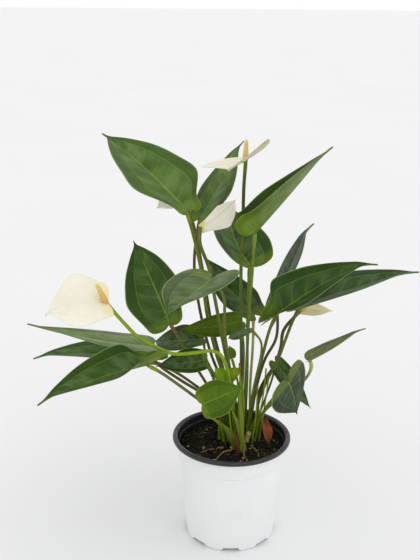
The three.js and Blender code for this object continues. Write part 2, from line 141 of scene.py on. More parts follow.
# The first leaves are painted a brighter yellow green than they are, to stand in for light shining through
# them in the shade: painted light.
FIRST_LEAF_PAINTED_LIGHT = (122, 158, 8)
DULL_FINGER = ((224, 208, 128), (232, 222, 160))
RUST = (92, 52, 30)
PEAT = (17, 14, 9)

# ---- the leaves ---------------------------------------------------------------------------
# Base, tip, width, roll and the outline values are those of the imported part, apart from the
# blades of blooms b and c, which are refined here. Fold lifts each half, left then right, curl
# bends it on towards its margin, and cup lifts it more near the base. Hook carries the tip
# aside. Top and under are the colours of the two faces, fade that of the under face towards
# the tip, blush that of the left margin, and the painted sheen share how much grey sheen is
# painted in, standing in for the reflection of the bright sky. Stalk gives the colours of foot,
# middle and joint.

LEAVES = [
    dict(
        name="upper_left", base=(-46, 5, 341), tip=(-132, 86, 400), width=81, roll=-13,
        fold=(29, 18), curl=-18, arch=0.04, sweep=-0.01, lobe=0.05, widest=0.25,
        shoulder=0.46, taper=1.21, foot=(-3, 35), top=MOSS, under=UNDER,
        via=[(-2, 33, 136), (-16, 30, 183), (-26, 26, 228), (-32, 18, 276), (-39, 8, 313)],
        stalk=(LEAF_GREEN, LEAF_GREEN, LIME),
        hook=(-2, 0, 1),
    ),
    dict(
        name="upper_centre", base=(-34, 25, 328), tip=(5, 64, 398), width=47, roll=4,
        fold=(4, 26), curl=-20, arch=0, sweep=0.04, lobe=0.07, widest=0.32,
        shoulder=0.73, taper=1, foot=(3, 42), top=SATIN, under=UNDER,
        via=[(-3, 42, 132), (-21, 43, 177), (-33, 43, 225), (-39, 36, 272), (-38, 30, 300)],
        stalk=(DARK_GREEN, BARK, BARK),
        hook=(4, 0, 0),
    ),
    dict(
        name="left_mid", base=(-62, -12, 233), tip=(-100, 40, 301), width=64, roll=-55,
        fold=(27, 26), curl=-7, arch=0, sweep=0.01, lobe=0.06, widest=0.32,
        shoulder=0.75, taper=1.15, foot=(-4, 23), top=FOREST, under=UNDER,
        via=[(-25, 20, 153), (-43, 12, 187), (-54, -2, 215)],
        stalk=(LEAF_GREEN, OLIVE, ROSE),
        painted_sheen=0.6,
    ),
    dict(
        name="centre_front", base=(-22, -32, 285), tip=(-60, -126, 285), width=61, roll=2,
        fold=(22, 17), curl=-13, arch=0, sweep=-0.02, lobe=0.16, widest=0.32,
        shoulder=0.98, taper=1.2, foot=(10, 6), top=(66, 92, 34), under=UNDER,
        via=[(-2, -6, 177), (-9, -20, 230), (-11, -29, 268)],
        stalk=(LEAF_GREEN, OLIVE, LEAF_GREEN),
        hook=(0, 0, -4),
    ),
    dict(
        name="centre_dark", base=(22, 44, 223), tip=(-29, 98, 269), width=49, roll=-8,
        fold=(19, 12), curl=-13, arch=0, sweep=-0.04, lobe=0.09, widest=0.24,
        shoulder=0.74, taper=1.07, foot=(21, 38), top=DEEP, under=UNDER,
        via=[(20, 40, 140), (22, 44, 190)],
        stalk=(LEAF_GREEN, CHALK, STRAW),
    ),
    dict(
        name="mid_back", base=(16, 30, 279), tip=(-2, 123, 321), width=65, roll=1,
        fold=(35, 23), curl=-1, arch=0, sweep=-0.07, lobe=0.07, widest=0.23,
        shoulder=0.91, taper=1, foot=(15, 33), top=FOREST, under=UNDER,
        via=[(16, 28, 162), (15, 25, 214), (15, 25, 250)],
        stalk=(LEAF_GREEN, LEAF_GREEN, LEAF_GREEN),
    ),
    dict(
        name="upper_right", base=(18, -10, 323), tip=(86, 19, 399), width=56, roll=-4,
        fold=(40, 60), curl=-17, arch=0, sweep=0.02, lobe=0.09, widest=0.1,
        shoulder=1.12, taper=0.86, foot=(12, 17), top=FOREST, under=UNDER_LIT,
        via=[(14, 8, 176), (15, -2, 239), (17, -7, 287)],
        stalk=(LEAF_GREEN, LEAF_GREEN, LIME),
        hook=(5, 0, 1),
        fade=UNDER_PALE,
        cup=(0, 16),
    ),
    dict(
        name="right_upright", base=(44, 32, 243), tip=(79, 79, 312), width=56, roll=-40,
        fold=(11, 16), curl=-17, arch=0, sweep=0.02, lobe=0.12, widest=0.42,
        shoulder=0.9, taper=1, foot=(20, 26), top=(40, 68, 16), under=UNDER,
        via=[(27, 28, 153), (34, 29, 179), (45, 30, 203)],
        stalk=(OLIVE, BARK, BARK),
        hook=(5, 0, -1),
        painted_sheen=0.3,
    ),
    dict(
        name="right_front", base=(40, -22, 246), tip=(136, 8, 293), width=59, roll=14,
        fold=(34, 29), curl=-7, arch=0.05, sweep=0, lobe=0.16, widest=0.15,
        shoulder=0.55, taper=0.89, foot=(19, 17), top=DEEP, under=UNDER,
        via=[(23, 4, 161), (28, -8, 194), (35, -20, 233)],
        stalk=(LEAF_GREEN, OLIVE, OLIVE),
        hook=(3, 0, -5),
        cup=(35, 15),
        painted_sheen=0.5,
    ),
    dict(
        name="right_back", base=(66, 18, 241), tip=(184, 34, 276), width=63, roll=1,
        fold=(18, 21), curl=-8, arch=0.01, sweep=0.01, lobe=0.12, widest=0.37,
        shoulder=0.89, taper=0.96, foot=(25, 18), top=DEEP, under=UNDER,
        via=[(28, 11, 141), (38, 2, 175), (46, -2, 196), (50, -1, 208), (59, 12, 227)],
        stalk=(OLIVE, OLIVE, LEAF_GREEN),
        hook=(2, 0, -3),
        painted_sheen=0.6,
    ),
    dict(
        name="heart_front", base=(52, -42, 186), tip=(65, -9, 136), width=54, roll=101,
        fold=(8, -10), curl=-8, arch=0.01, sweep=-0.02, lobe=0.21, widest=0.19,
        shoulder=1, taper=0.98, foot=(22, 7), top=(22, 50, 2), under=UNDER,
        via=[(34, -12, 145), (45, -30, 170)],
        stalk=(LEAF_GREEN, LEAF_GREEN, LIME),
        painted_sheen=0.25,
    ),
    dict(
        name="right_low", base=(77, 4, 189), tip=(129, 16, 221), width=33, roll=-6,
        fold=(14, 24), curl=-5, arch=-0.02, sweep=0.04, lobe=0.06, widest=0.13,
        shoulder=1.03, taper=0.97, foot=(29, 11), top=UNDER_PALE, under=UNDER_PALE,
        via=[(33, 7, 130), (54, 4, 151), (74, 3, 170), (79, 4, 182)],
        stalk=(OLIVE, UNDER_PALE, CELERY),
        hook=(4, 0, -2),
    ),
    dict(
        name="low_left", base=(-81, -52, 207), tip=(-180, -72, 178), width=56, roll=-10,
        fold=(24, 31), curl=-3, arch=0.04, sweep=-0.02, lobe=0.2, widest=0.18,
        shoulder=0.52, taper=1.1, foot=(-2, 12), top=FOREST, under=SATIN,
        via=[(-17, -8, 137), (-38, -26, 163), (-69, -47, 197)],
        stalk=(OLIVE, OLIVE, LIME),
        hook=(-1, 0, -4),
        cup=(36, 0),
    ),
    dict(
        name="long_left", base=(-85, 4, 203), tip=(-195, -8, 229), width=57, roll=0,
        fold=(21, 10), curl=-19, arch=-0.02, sweep=-0.03, lobe=0.09, widest=0.21,
        shoulder=1.04, taper=1, foot=(-9, 16), top=PALE_GREY, under=UNDER,
        via=[(-14, 8, 137), (-32, 4, 153), (-52, 0, 168), (-75, 0, 186)],
        stalk=(OLIVE, BARK, OLIVE),
        hook=(-5, 0, 1),
    ),
    dict(
        name="back_left", base=(-84, 22, 180), tip=(-206, 30, 180), width=54, roll=-3,
        fold=(16, 14), curl=2, arch=0.04, sweep=0, lobe=0.14, widest=0.26,
        shoulder=0.92, taper=1.06, foot=(-9, 30), top=FOREST, under=UNDER,
        via=[(-12, 28, 131), (-33, 26, 147), (-58, 22, 167)],
        stalk=(OLIVE, OLIVE, LEAF_GREEN),
        hook=(1, 0, -3),
    ),
    dict(
        name="dark_low", base=(-27, -18, 197), tip=(-75, -22, 192), width=30, roll=-36,
        fold=(20, 15), curl=-9, arch=0.06, sweep=-0.03, lobe=0.06, widest=0.28,
        shoulder=0.85, taper=1.08, foot=(-12, 9), top=DEEP, under=UNDER,
        via=[(-12, 1, 143), (-18, -10, 172)],
        stalk=(LEAF_GREEN, LEAF_GREEN, LEAF_GREEN),
    ),
    dict(
        name="young", base=(7, 15, 226), tip=(-55, 12, 218), width=24, roll=-60,
        fold=(12, 8), curl=1, arch=0.02, sweep=-0.04, lobe=0.07, widest=0.28,
        shoulder=0.91, taper=1.08, foot=(8, 32), top=FRESH, under=UNDER_LIT,
        via=[(11, 26, 151), (11, 20, 198)],
        stalk=(LEAF_GREEN, LEAF_GREEN, LIME),
        painted_sheen=0.1,
    ),
    dict(
        name="round_front", base=(-29, -46, 164), tip=(9, -51, 185), width=35, roll=66,
        fold=(6, 3), curl=-8, arch=0.03, sweep=0, lobe=0.09, widest=0.36,
        shoulder=0.92, taper=1.01, foot=(-8, 1), top=FRESH, under=UNDER_LIT,
        via=[(-13, -16, 128), (-25, -35, 149)],
        stalk=(LEAF_GREEN, LIME, LIME),
        painted_sheen=0.1,
    ),
]

SMALL_LEAVES = [
    dict(
        name="heart_back", base=(45, 19, 179), tip=(83, 21, 127), width=20, roll=70,
        fold=(11, 10), curl=-5, arch=0.04, sweep=0.01, lobe=0.1, widest=0.26,
        shoulder=0.9, taper=1, foot=(27, 31), top=(56, 86, 26), under=UNDER,
        via=[(34, 26, 132), (41, 20, 160)], stalk=(LEAF_GREEN, LEAF_GREEN, LIME),
    ),
    dict(
        name="dark_high", base=(-30, 24, 203), tip=(-82, 64, 184), width=34, roll=-42,
        fold=(25, 23), curl=-8, arch=0.07, sweep=-0.06, lobe=0.09, widest=0.32,
        shoulder=0.83, taper=1.09, foot=(-6, 42), top=DEEP, under=UNDER,
        via=[(-10, 38, 140), (-26, 28, 179)], stalk=(OLIVE, OLIVE, OLIVE),
    ),
    dict(
        name="narrow", base=(17, -36, 236), tip=(-6, -40, 229), width=11, roll=-40,
        fold=(12, 12), curl=4, arch=0.03, sweep=0, lobe=0.05, widest=0.6,
        shoulder=0.5, taper=1.5, foot=(16, 9), top=(62, 80, 46), under=UNDER,
        via=[(21, -2, 159), (27, -18, 214)], stalk=(LEAF_GREEN, LEAF_GREEN, LEAF_GREEN),
    ),
    dict(
        name="bright", base=(-1, -2, 194), tip=(-4, 2, 205), width=11, roll=0,
        fold=(10, 10), curl=-6, arch=0.05, sweep=0, lobe=0.12, widest=0.35,
        shoulder=0.9, taper=1, foot=(3, 11), top=FRESH, under=UNDER_LIT,
        via=[(7, 5, 150), (3, -1, 178)], stalk=(LEAF_GREEN, LEAF_GREEN, LIME),
        painted_sheen=0.1,
    ),
]

BLOOMS = [
    dict(
        name="a", base=(-116, -66, 273), tip=(-168, -74, 266), width=54, roll=-46,
        fold=(9, 6), curl=19, arch=0.14, sweep=-0.01, lobe=0.07, widest=0.4,
        shoulder=0.72, taper=1, foot=(4, 6), spadix=(-122, -78, 294), top=CREAM, under=CREAM,
        via=[(-2, -14, 166), (-8, -26, 198), (-14, -29, 209), (-22, -32, 213), (-37, -37, 213),
             (-57, -42, 214), (-76, -48, 225), (-89, -53, 235), (-99, -58, 248)],
        stalk=(LEAF_GREEN, GRASS, GRASS), finger=((226, 178, 78), (238, 214, 132)),
        hook=(-1, 0, -3),
    ),
    dict(
        name="b", base=(9, 8, 389), tip=(-9, -72, 394), width=67, roll=16,
        fold=(15, 16), curl=(20, -14), arch=0, sweep=0.03, lobe=0.18, widest=0.27,
        shoulder=0.94, taper=1.03, foot=(8, 24), spadix=(9, 0, 409), top=IVORY, under=IVORY,
        via=[(9, 10, 184), (7, 4, 248), (7, 15, 306), (8, 18, 332), (8, 13, 362)],
        stalk=(DARK_GREEN, DARK_GREEN, LEAF_GREEN), finger=((240, 196, 136), (246, 222, 170)),
        blush=CELERY,
    ),
    dict(
        name="c", base=(-33, -5, 327), tip=(0, -5, 354), width=30, roll=-108,
        fold=(6, 58), curl=-6, arch=0, sweep=-0.03, lobe=0.02, widest=0.5,
        shoulder=0.5, taper=1.25, foot=(1, 29), spadix=(-12, 8, 337), top=CREAM, under=CREAM,
        via=[(-3, 14, 167), (-12, -3, 221), (-19, -4, 259), (-25, -6, 289), (-33, -13, 314)],
        stalk=(LEAF_GREEN, OLIVE, OLIVE), finger=DULL_FINGER,
    ),
    dict(
        name="d", base=(-56, 62, 344), tip=(-78, 54, 331), width=22, roll=-60,
        fold=(8, 8), curl=8, arch=0.06, sweep=0, lobe=0.12, widest=0.32,
        shoulder=0.85, taper=0.9, foot=(10, 44), spadix=(-55, 48, 351), top=PEARL, under=PEARL,
        via=[(-5, 48, 147), (-22, 54, 212), (-31, 60, 265), (-44, 66, 322)],
        stalk=(LEAF_GREEN, OLIVE, OLIVE), finger=DULL_FINGER,
    ),
    dict(
        name="e", base=(70, 36, 231), tip=(104, 44, 227), width=14, roll=55,
        fold=(10, 10), curl=8, arch=0.05, sweep=0, lobe=0.12, widest=0.3,
        shoulder=0.85, taper=0.95, foot=(28, 24), spadix=(74, 24, 240),
        # Both faces of this spathe are painted near white, brighter than its cream yellow, to stand in for
        # light where it sits in shade: painted light.
        top=(250, 240, 196), under=(252, 240, 180),
        via=[(28, 16, 146), (33, 10, 164), (43, 6, 184), (48, 8, 201), (51, 18, 215)],
        stalk=(OLIVE, BARK, OLIVE), finger=((226, 190, 92), (238, 214, 132)),
    ),
]

DEAD_LEAF = dict(
    name="dead_leaf", base=(33, 4, 122), tip=(38, -3, SOIL_TOP + 1.4), width=15, roll=12,
    fold=(38, 34), curl=20, arch=0.06, sweep=0.03, lobe=0.1, widest=0.4, shoulder=0.7, taper=1,
    top=(146, 84, 42), under=(120, 68, 32),
)


# ---- small tools --------------------------------------------------------------------------


def linear(colour):
    """A display colour of 0 to 255 as the linear colour that Blender works in."""
    share = np.asarray(colour, float) / 255
    low = share / 12.92
    high = ((share + 0.055) / 1.055) ** 2.4
    return np.where(share <= 0.04045, low, high)


def unit(vector):
    vector = np.asarray(vector, float)
    return vector / np.linalg.norm(vector, axis=-1, keepdims=True)


def smooth_values(values, place):
    """The smooth curve through evenly spaced values, read at places counted in steps."""
    values = np.asarray(values, float)
    last = len(values) - 1
    low = np.clip(np.floor(place).astype(int), 0, last - 1)
    part = place - low

    def value(index):
        return values[np.clip(index, 0, last)]

    before, start, end, after = value(low - 1), value(low), value(low + 1), value(low + 2)
    leave = np.where(low == 0, end - start, (end - before) / 2)
    arrive = np.where(low == last - 1, end - start, (after - start) / 2)
    square, cube = part**2, part**3
    return (
        (2 * cube - 3 * square + 1) * start
        + (cube - 2 * square + part) * leave
        + (3 * square - 2 * cube) * end
        + (cube - square) * arrive
    )


def smooth_path(points, step):
    """Even points along the smooth centripetal curve through the points given."""
    points = np.asarray(points, float)
    padded = np.vstack([2 * points[0] - points[1], points, 2 * points[-1] - points[-2]])
    fine = []
    for i in range(len(points) - 1):
        before, start, end, after = padded[i : i + 4]
        gap_in, gap, gap_out = (
            math.sqrt(np.linalg.norm(b - a)) for a, b in ((before, start), (start, end), (end, after))
        )
        leave = (start - before) / gap_in - (end - before) / (gap_in + gap) + (end - start) / gap
        leave = leave * gap
        arrive = (end - start) / gap - (after - start) / (gap + gap_out) + (after - end) / gap_out
        arrive = arrive * gap
        part = np.linspace(0, 1, 24, endpoint=False)[:, None]
        square, cube = part**2, part**3
        fine.append(
            (2 * cube - 3 * square + 1) * start
            + (cube - 2 * square + part) * leave
            + (3 * square - 2 * cube) * end
            + (cube - square) * arrive
        )
    fine = np.vstack([*fine, points[-1:]])
    run = np.concatenate([[0], np.cumsum(np.linalg.norm(np.diff(fine, axis=0), axis=1))])
    even = np.linspace(0, run[-1], max(3, int(run[-1] / step) + 1))
    return np.stack([np.interp(even, run, fine[:, k]) for k in range(3)], 1)


def path_frames(path):
    """Two directions square to the path at each of its points, which turn as little as they can."""
    tangent = unit(np.gradient(path, axis=0))
    start = np.array([0.0, -1.0, 0.0])
    across = unit(start - start.dot(tangent[0]) * tangent[0])
    sides = []
    for heading in tangent:
        across = unit(across - across.dot(heading) * heading)
        sides.append(across)
    sides = np.array(sides)
    return sides, np.cross(tangent, sides)


def around_path(path, size, angle):
    """Rings of points round a path, as far out as size and turned by angle."""
    across, other = path_frames(path)
    rings = (
        path[:, None, :]
        + (size * np.cos(angle))[..., None] * across[:, None, :]
        + (size * np.sin(angle))[..., None] * other[:, None, :]
    )
    return rings.reshape(-1, 3)


def make_piece(name, shape, material, replaces, face_material=None, painted_sheen=1.0):
    """One finished piece from its points in millimetres, faces, colours and places on the skin."""
    points, faces, colour, place = shape
    mesh = bpy.data.meshes.new(name)
    mesh.from_pydata((np.asarray(points) * MM).tolist(), [], faces)
    materials = material if isinstance(material, (list, tuple)) else [material]
    for one in materials:
        mesh.materials.append(one)
    if face_material is not None:
        mesh.polygons.foreach_set("material_index", np.asarray(face_material, np.int32))
    paint = mesh.attributes.new("paint", "FLOAT_COLOR", "POINT")
    shade = np.ones((len(points), 4))
    shade[:, :3] = colour
    # The alpha is the share of painted grey sheen on the piece.
    shade[:, 3] = painted_sheen
    paint.data.foreach_set("color", shade.ravel())
    if place is not None:
        where = mesh.attributes.new("place", "FLOAT_VECTOR", "POINT")
        where.data.foreach_set("vector", np.asarray(place, float).ravel())
    mesh.polygons.foreach_set("use_smooth", np.ones(len(mesh.polygons), bool))
    mesh.validate()
    mesh.update()
    piece = bpy.data.objects.new(name, mesh)
    bpy.context.collection.objects.link(piece)
    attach(piece, "root")
    if replaces:
        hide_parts(*replaces)
    return piece


def grid_faces(rows, columns, start=0, flip=False, wrap=False):
    """Four-sided faces of a grid of points kept row by row."""
    faces = []
    for r in range(rows - 1):
        for c in range(columns if wrap else columns - 1):
            n = (c + 1) % columns
            quad = (
                start + r * columns + c,
                start + r * columns + n,
                start + (r + 1) * columns + n,
                start + (r + 1) * columns + c,
            )
            faces.append(quad[::-1] if flip else quad)
    return faces


def tube_faces(rings, sides):
    """Faces of a tube of rings, closed flat at both ends."""
    faces = grid_faces(rings, sides, wrap=True)
    faces.append(tuple(range(sides))[::-1])
    faces.append(tuple((rings - 1) * sides + k for k in range(sides)))
    return faces


def shell_faces(rows, columns):
    """Faces of a thin shell: an upper grid, a lower grid that follows it, and the rim of both."""
    count = rows * columns
    faces = grid_faces(rows, columns) + grid_faces(rows, columns, count, flip=True)
    ring = list(range(columns))
    ring += [r * columns + columns - 1 for r in range(1, rows)]
    ring += [(rows - 1) * columns + c for c in range(columns - 2, -1, -1)]
    ring += [r * columns for r in range(rows - 2, 0, -1)]
    for i, here in enumerate(ring):
        after = ring[(i + 1) % len(ring)]
        faces.append((after, here, here + count, after + count))
    return faces


# ---- material tools -----------------------------------------------------------------------


def add_node(tree, kind, inputs=None, **settings):
    """A node with its settings made and its inputs set or linked."""
    made = tree.nodes.new(kind)
    for key, value in settings.items():
        setattr(made, key, value)
    for key, value in (inputs or {}).items():
        if isinstance(value, bpy.types.NodeSocket):
            tree.links.new(value, made.inputs[key])
        else:
            made.inputs[key].default_value = value
    return made


def maths(tree, operation, *values):
    return add_node(tree, "ShaderNodeMath", dict(enumerate(values)), operation=operation).outputs[0]


def ramp(tree, value, low, high, to_low=0.0, to_high=1.0):
    """Value from low to high, eased onto to_low to to_high."""
    inputs = {"Value": value, "From Min": low, "From Max": high, "To Min": to_low, "To Max": to_high}
    return add_node(tree, "ShaderNodeMapRange", inputs, interpolation_type="SMOOTHSTEP").outputs[0]


def blend(tree, share, first, second, blend_type="MIX"):
    made = add_node(tree, "ShaderNodeMix", data_type="RGBA", blend_type=blend_type)
    for index, value in ((0, share), (6, first), (7, second)):
        if isinstance(value, bpy.types.NodeSocket):
            tree.links.new(value, made.inputs[index])
        else:
            made.inputs[index].default_value = value
    return made.outputs[2]


def grain(tree, scale, detail=3.0, roughness=0.55, stretch=None):
    """Noise that is fixed to the piece, with features about one over scale metres wide."""
    where = add_node(tree, "ShaderNodeTexCoord").outputs["Object"]
    if stretch:
        where = add_node(tree, "ShaderNodeMapping", {"Vector": where, "Scale": stretch}).outputs[0]
    inputs = {"Vector": where, "Scale": scale, "Detail": detail, "Roughness": roughness}
    return add_node(tree, "ShaderNodeTexNoise", inputs).outputs["Fac"]


def rgba(colour):
    return (*linear(colour), 1.0)


def new_material(name, **surface):
    """A material with its Principled surface and the values that are even all over it."""
    material = bpy.data.materials.new(name)
    material.use_nodes = True
    tree = material.node_tree
    shader = tree.nodes["Principled BSDF"]
    for key, value in surface.items():
        shader.inputs[key.replace("_", " ")].default_value = value
    return material, tree, shader


def finish_surface(tree, shader, colour, roughness, height, distance, strength=1.0):
    tree.links.new(colour, shader.inputs["Base Color"])
    tree.links.new(roughness, shader.inputs["Roughness"])
    inputs = {"Height": height, "Distance": distance, "Strength": strength}
    bump = add_node(tree, "ShaderNodeBump", inputs)
    tree.links.new(bump.outputs[0], shader.inputs["Normal"])


def painted(tree):
    """The colour painted on the points, with how much painted grey sheen they carry as its alpha."""
    return add_node(tree, "ShaderNodeAttribute", attribute_name="paint")


def paint_and_place(tree):
    """The painted colour, and how far round the ribs, across and along the blade a spot is."""
    paint = painted(tree).outputs["Color"]
    place = add_node(tree, "ShaderNodeAttribute", attribute_name="place").outputs["Vector"]
    apart = add_node(tree, "ShaderNodeSeparateXYZ", {"Vector": place}).outputs
    return paint, apart[0], apart[1], apart[2]


def vein_group():
    """Masks for the midrib, the long vein near the margin and the side veins between them."""
    group = bpy.data.node_groups.new("blade_veins", "ShaderNodeTree")
    given_values = {"Veins per Step": VEINS_PER_STEP, "Vein Width": 0.12, "Long Vein": VEIN_PLACE}
    for name, default in given_values.items():
        socket = group.interface.new_socket(name, in_out="INPUT", socket_type="NodeSocketFloat")
        socket.default_value = default
    for name in ("Lines", "Midrib", "Inside", "Margin", "Streaks"):
        group.interface.new_socket(name, in_out="OUTPUT", socket_type="NodeSocketFloat")
    given = group.nodes.new("NodeGroupInput").outputs
    result = group.nodes.new("NodeGroupOutput").inputs
    _, rib, across, _ = paint_and_place(group)
    reach = maths(group, "ABSOLUTE", across)
    swept = maths(group, "MULTIPLY_ADD", maths(group, "MULTIPLY", reach, reach), -VEIN_SWEEP, rib)
    place = maths(group, "FRACT", maths(group, "MULTIPLY", swept, given["Veins per Step"]))
    off = maths(group, "ABSOLUTE", maths(group, "SUBTRACT", place, 0.5))
    edge = maths(group, "SUBTRACT", 0.5, given["Vein Width"])
    side = ramp(group, off, edge, 0.5)
    side = maths(group, "MULTIPLY", side, ramp(group, reach, VEIN_PLACE + 0.3, 0.1))
    from_long = maths(group, "ABSOLUTE", maths(group, "SUBTRACT", reach, given["Long Vein"]))
    long_vein = maths(group, "MULTIPLY", ramp(group, from_long, 0.035, 0.004), LONG_VEIN_SHARE)
    lines = maths(group, "MAXIMUM", maths(group, "MULTIPLY", side, SIDE_VEIN_SHARE), long_vein)
    stretch = {0: maths(group, "MULTIPLY", swept, 1.15), 1: maths(group, "MULTIPLY", across, 0.8)}
    spot = add_node(group, "ShaderNodeCombineXYZ", stretch).outputs[0]
    # Streaks is the patchy mask of the painted grey sheen on the leaves.
    streaks = add_node(group, "ShaderNodeTexNoise", {"Vector": spot, "Scale": 1.6, "Detail": 3.0})
    group.links.new(lines, result["Lines"])
    group.links.new(ramp(group, reach, 0.045, 0.01), result["Midrib"])
    group.links.new(ramp(group, reach, VEIN_PLACE + 0.06, VEIN_PLACE - 0.12), result["Inside"])
    group.links.new(ramp(group, reach, 0.955, 0.99), result["Margin"])
    group.links.new(ramp(group, streaks.outputs["Fac"], 0.36, 0.64), result["Streaks"])
    return group


def use_veins(tree, veins, **values):
    made = add_node(tree, "ShaderNodeGroup", node_tree=veins)
    for key, value in values.items():
        made.inputs[key.replace("_", " ")].default_value = value
    return made.outputs


def leaf_material(veins):
    """A smooth waxy leaf: mottled green, pale veins, painted grey sheen between them, a thin pale edge."""
    material, tree, shader = new_material("waxy_leaf", Specular_IOR_Level=0.16)
    paint, _, _, along = paint_and_place(tree)
    marks = use_veins(tree, veins)
    mottle = ramp(tree, grain(tree, 42, 4), 0.3, 0.72, 0.8, 1.24)
    green = blend(tree, 1.0, paint, mottle, "MULTIPLY")
    outer = ramp(tree, marks["Inside"], 0.0, 1.0, 0.8, 1.0)
    green = blend(tree, 1.0, green, outer, "MULTIPLY")
    # Painted sheen: grey-green mixed in between the veins where the blade would reflect the bright sky.
    painted_sheen_alpha = painted(tree).outputs["Alpha"]
    painted_sheen = maths(tree, "MULTIPLY", marks["Streaks"], marks["Inside"])
    painted_sheen = maths(tree, "MULTIPLY", maths(tree, "MULTIPLY", painted_sheen, painted_sheen_alpha), PAINTED_SHEEN_SHARE)
    green = blend(tree, painted_sheen, green, rgba((150, 164, 122)))
    pale = blend(tree, 0.55, green, rgba((156, 180, 70)))
    green = blend(tree, maths(tree, "MULTIPLY", marks["Lines"], 0.6), green, pale)
    green = blend(tree, maths(tree, "MULTIPLY", marks["Midrib"], 0.65), green, pale)
    green = blend(tree, ramp(tree, along, 0.1, -0.02, 0.0, 0.3), green, rgba((136, 160, 44)))
    green = blend(tree, maths(tree, "MULTIPLY", marks["Margin"], 0.6), green, rgba((150, 168, 96)))
    roughness = ramp(tree, grain(tree, 60, 3), 0.3, 0.7, 0.34, 0.52)
    cells = add_node(tree, "ShaderNodeTexVoronoi", {"Scale": 900.0}).outputs["Distance"]
    height = maths(tree, "MULTIPLY_ADD", marks["Lines"], -0.5, maths(tree, "MULTIPLY", cells, 0.12))
    height = maths(tree, "MULTIPLY_ADD", grain(tree, 220, 3), 0.35, height)
    finish_surface(tree, shader, green, roughness, height, 0.0004, 0.7)
    return material


def spathe_material(veins):
    """A thick waxy bract: cream, yellow towards the spadix, with faint sunken ribs."""
    material, tree, shader = new_material(
        "waxy_spathe", Specular_IOR_Level=0.4, Subsurface_Weight=0.12, Subsurface_Scale=0.004
    )
    paint, _, _, along = paint_and_place(tree)
    marks = use_veins(tree, veins, Veins_per_Step=1.0, Vein_Width=0.16, Long_Vein=0.55)
    clouds = ramp(tree, grain(tree, 34, 3), 0.3, 0.75, 0.93, 1.03)
    cream = blend(tree, 1.0, paint, clouds, "MULTIPLY")
    throat = ramp(tree, along, 0.2, -0.04, 0.0, 0.6)
    cream = blend(tree, throat, cream, rgba(BUTTER))
    cream = blend(tree, maths(tree, "MULTIPLY", marks["Lines"], 0.3), cream, rgba((222, 214, 168)))
    cream = blend(tree, maths(tree, "MULTIPLY", marks["Margin"], 0.4), cream, rgba((214, 216, 186)))
    roughness = ramp(tree, grain(tree, 90, 3), 0.3, 0.7, 0.36, 0.5)
    height = maths(tree, "MULTIPLY_ADD", marks["Lines"], -0.8, grain(tree, 260, 3))
    finish_surface(tree, shader, cream, roughness, height, 0.0004, 0.45)
    return material


def stalk_material():
    """A smooth round stalk with faint lengthwise streaks and small corky flecks."""
    material, tree, shader = new_material("smooth_stalk", Specular_IOR_Level=0.22)
    paint, around, _, along = paint_and_place(tree)
    streak = add_node(tree, "ShaderNodeCombineXYZ", {0: around, 1: maths(tree, "MULTIPLY", along, 0.02)})
    lines = add_node(tree, "ShaderNodeTexNoise", {"Vector": streak.outputs[0], "Scale": 9.0, "Detail": 3.0})
    tone = ramp(tree, lines.outputs["Fac"], 0.3, 0.7, 0.8, 1.2)
    skin = blend(tree, 1.0, paint, tone, "MULTIPLY")
    flecks = ramp(tree, grain(tree, 420, 2), 0.68, 0.74)
    skin = blend(tree, maths(tree, "MULTIPLY", flecks, 0.35), skin, rgba((112, 84, 48)))
    roughness = ramp(tree, grain(tree, 150, 2), 0.3, 0.7, 0.36, 0.52)
    height = maths(tree, "MULTIPLY_ADD", lines.outputs["Fac"], 0.6, grain(tree, 500, 2))
    finish_surface(tree, shader, skin, roughness, height, 0.0003, 0.5)
    return material


def spadix_material():
    """Rows of tiny blunt flowers, darker in the gaps between them."""
    material, tree, shader = new_material(
        "knobbed_spadix", Specular_IOR_Level=0.35, Subsurface_Weight=0.1, Subsurface_Scale=0.002
    )
    paint, _, knob, _ = paint_and_place(tree)
    colour = blend(tree, ramp(tree, knob, 0.5, 0.0, 0.0, 0.45), paint, rgba((176, 120, 44)))
    colour = blend(tree, ramp(tree, knob, 0.75, 1.0, 0.0, 0.4), colour, rgba((252, 238, 196)))
    roughness = ramp(tree, grain(tree, 400, 2), 0.3, 0.7, 0.5, 0.7)
    finish_surface(tree, shader, colour, roughness, grain(tree, 1800, 2), 0.0002, 0.5)
    return material


def dry_material(veins):
    """Papery brown leaf with darker veins, creases and blotches."""
    material, tree, shader = new_material("dry_leaf_paper", Specular_IOR_Level=0.25)
    paint = painted(tree).outputs["Color"]
    marks = use_veins(tree, veins, Vein_Width=0.14)
    blotch = ramp(tree, grain(tree, 160, 4), 0.3, 0.7, 0.6, 1.35)
    brown = blend(tree, 1.0, paint, blotch, "MULTIPLY")
    brown = blend(tree, maths(tree, "MULTIPLY", marks["Lines"], 0.7), brown, rgba((74, 38, 18)))
    brown = blend(tree, maths(tree, "MULTIPLY", marks["Midrib"], 0.8), brown, rgba((196, 140, 84)))
    roughness = ramp(tree, grain(tree, 240, 2), 0.3, 0.7, 0.6, 0.85)
    height = maths(tree, "MULTIPLY_ADD", marks["Lines"], -0.6, grain(tree, 420, 4))
    finish_surface(tree, shader, brown, roughness, height, 0.0008, 0.8)
    return material


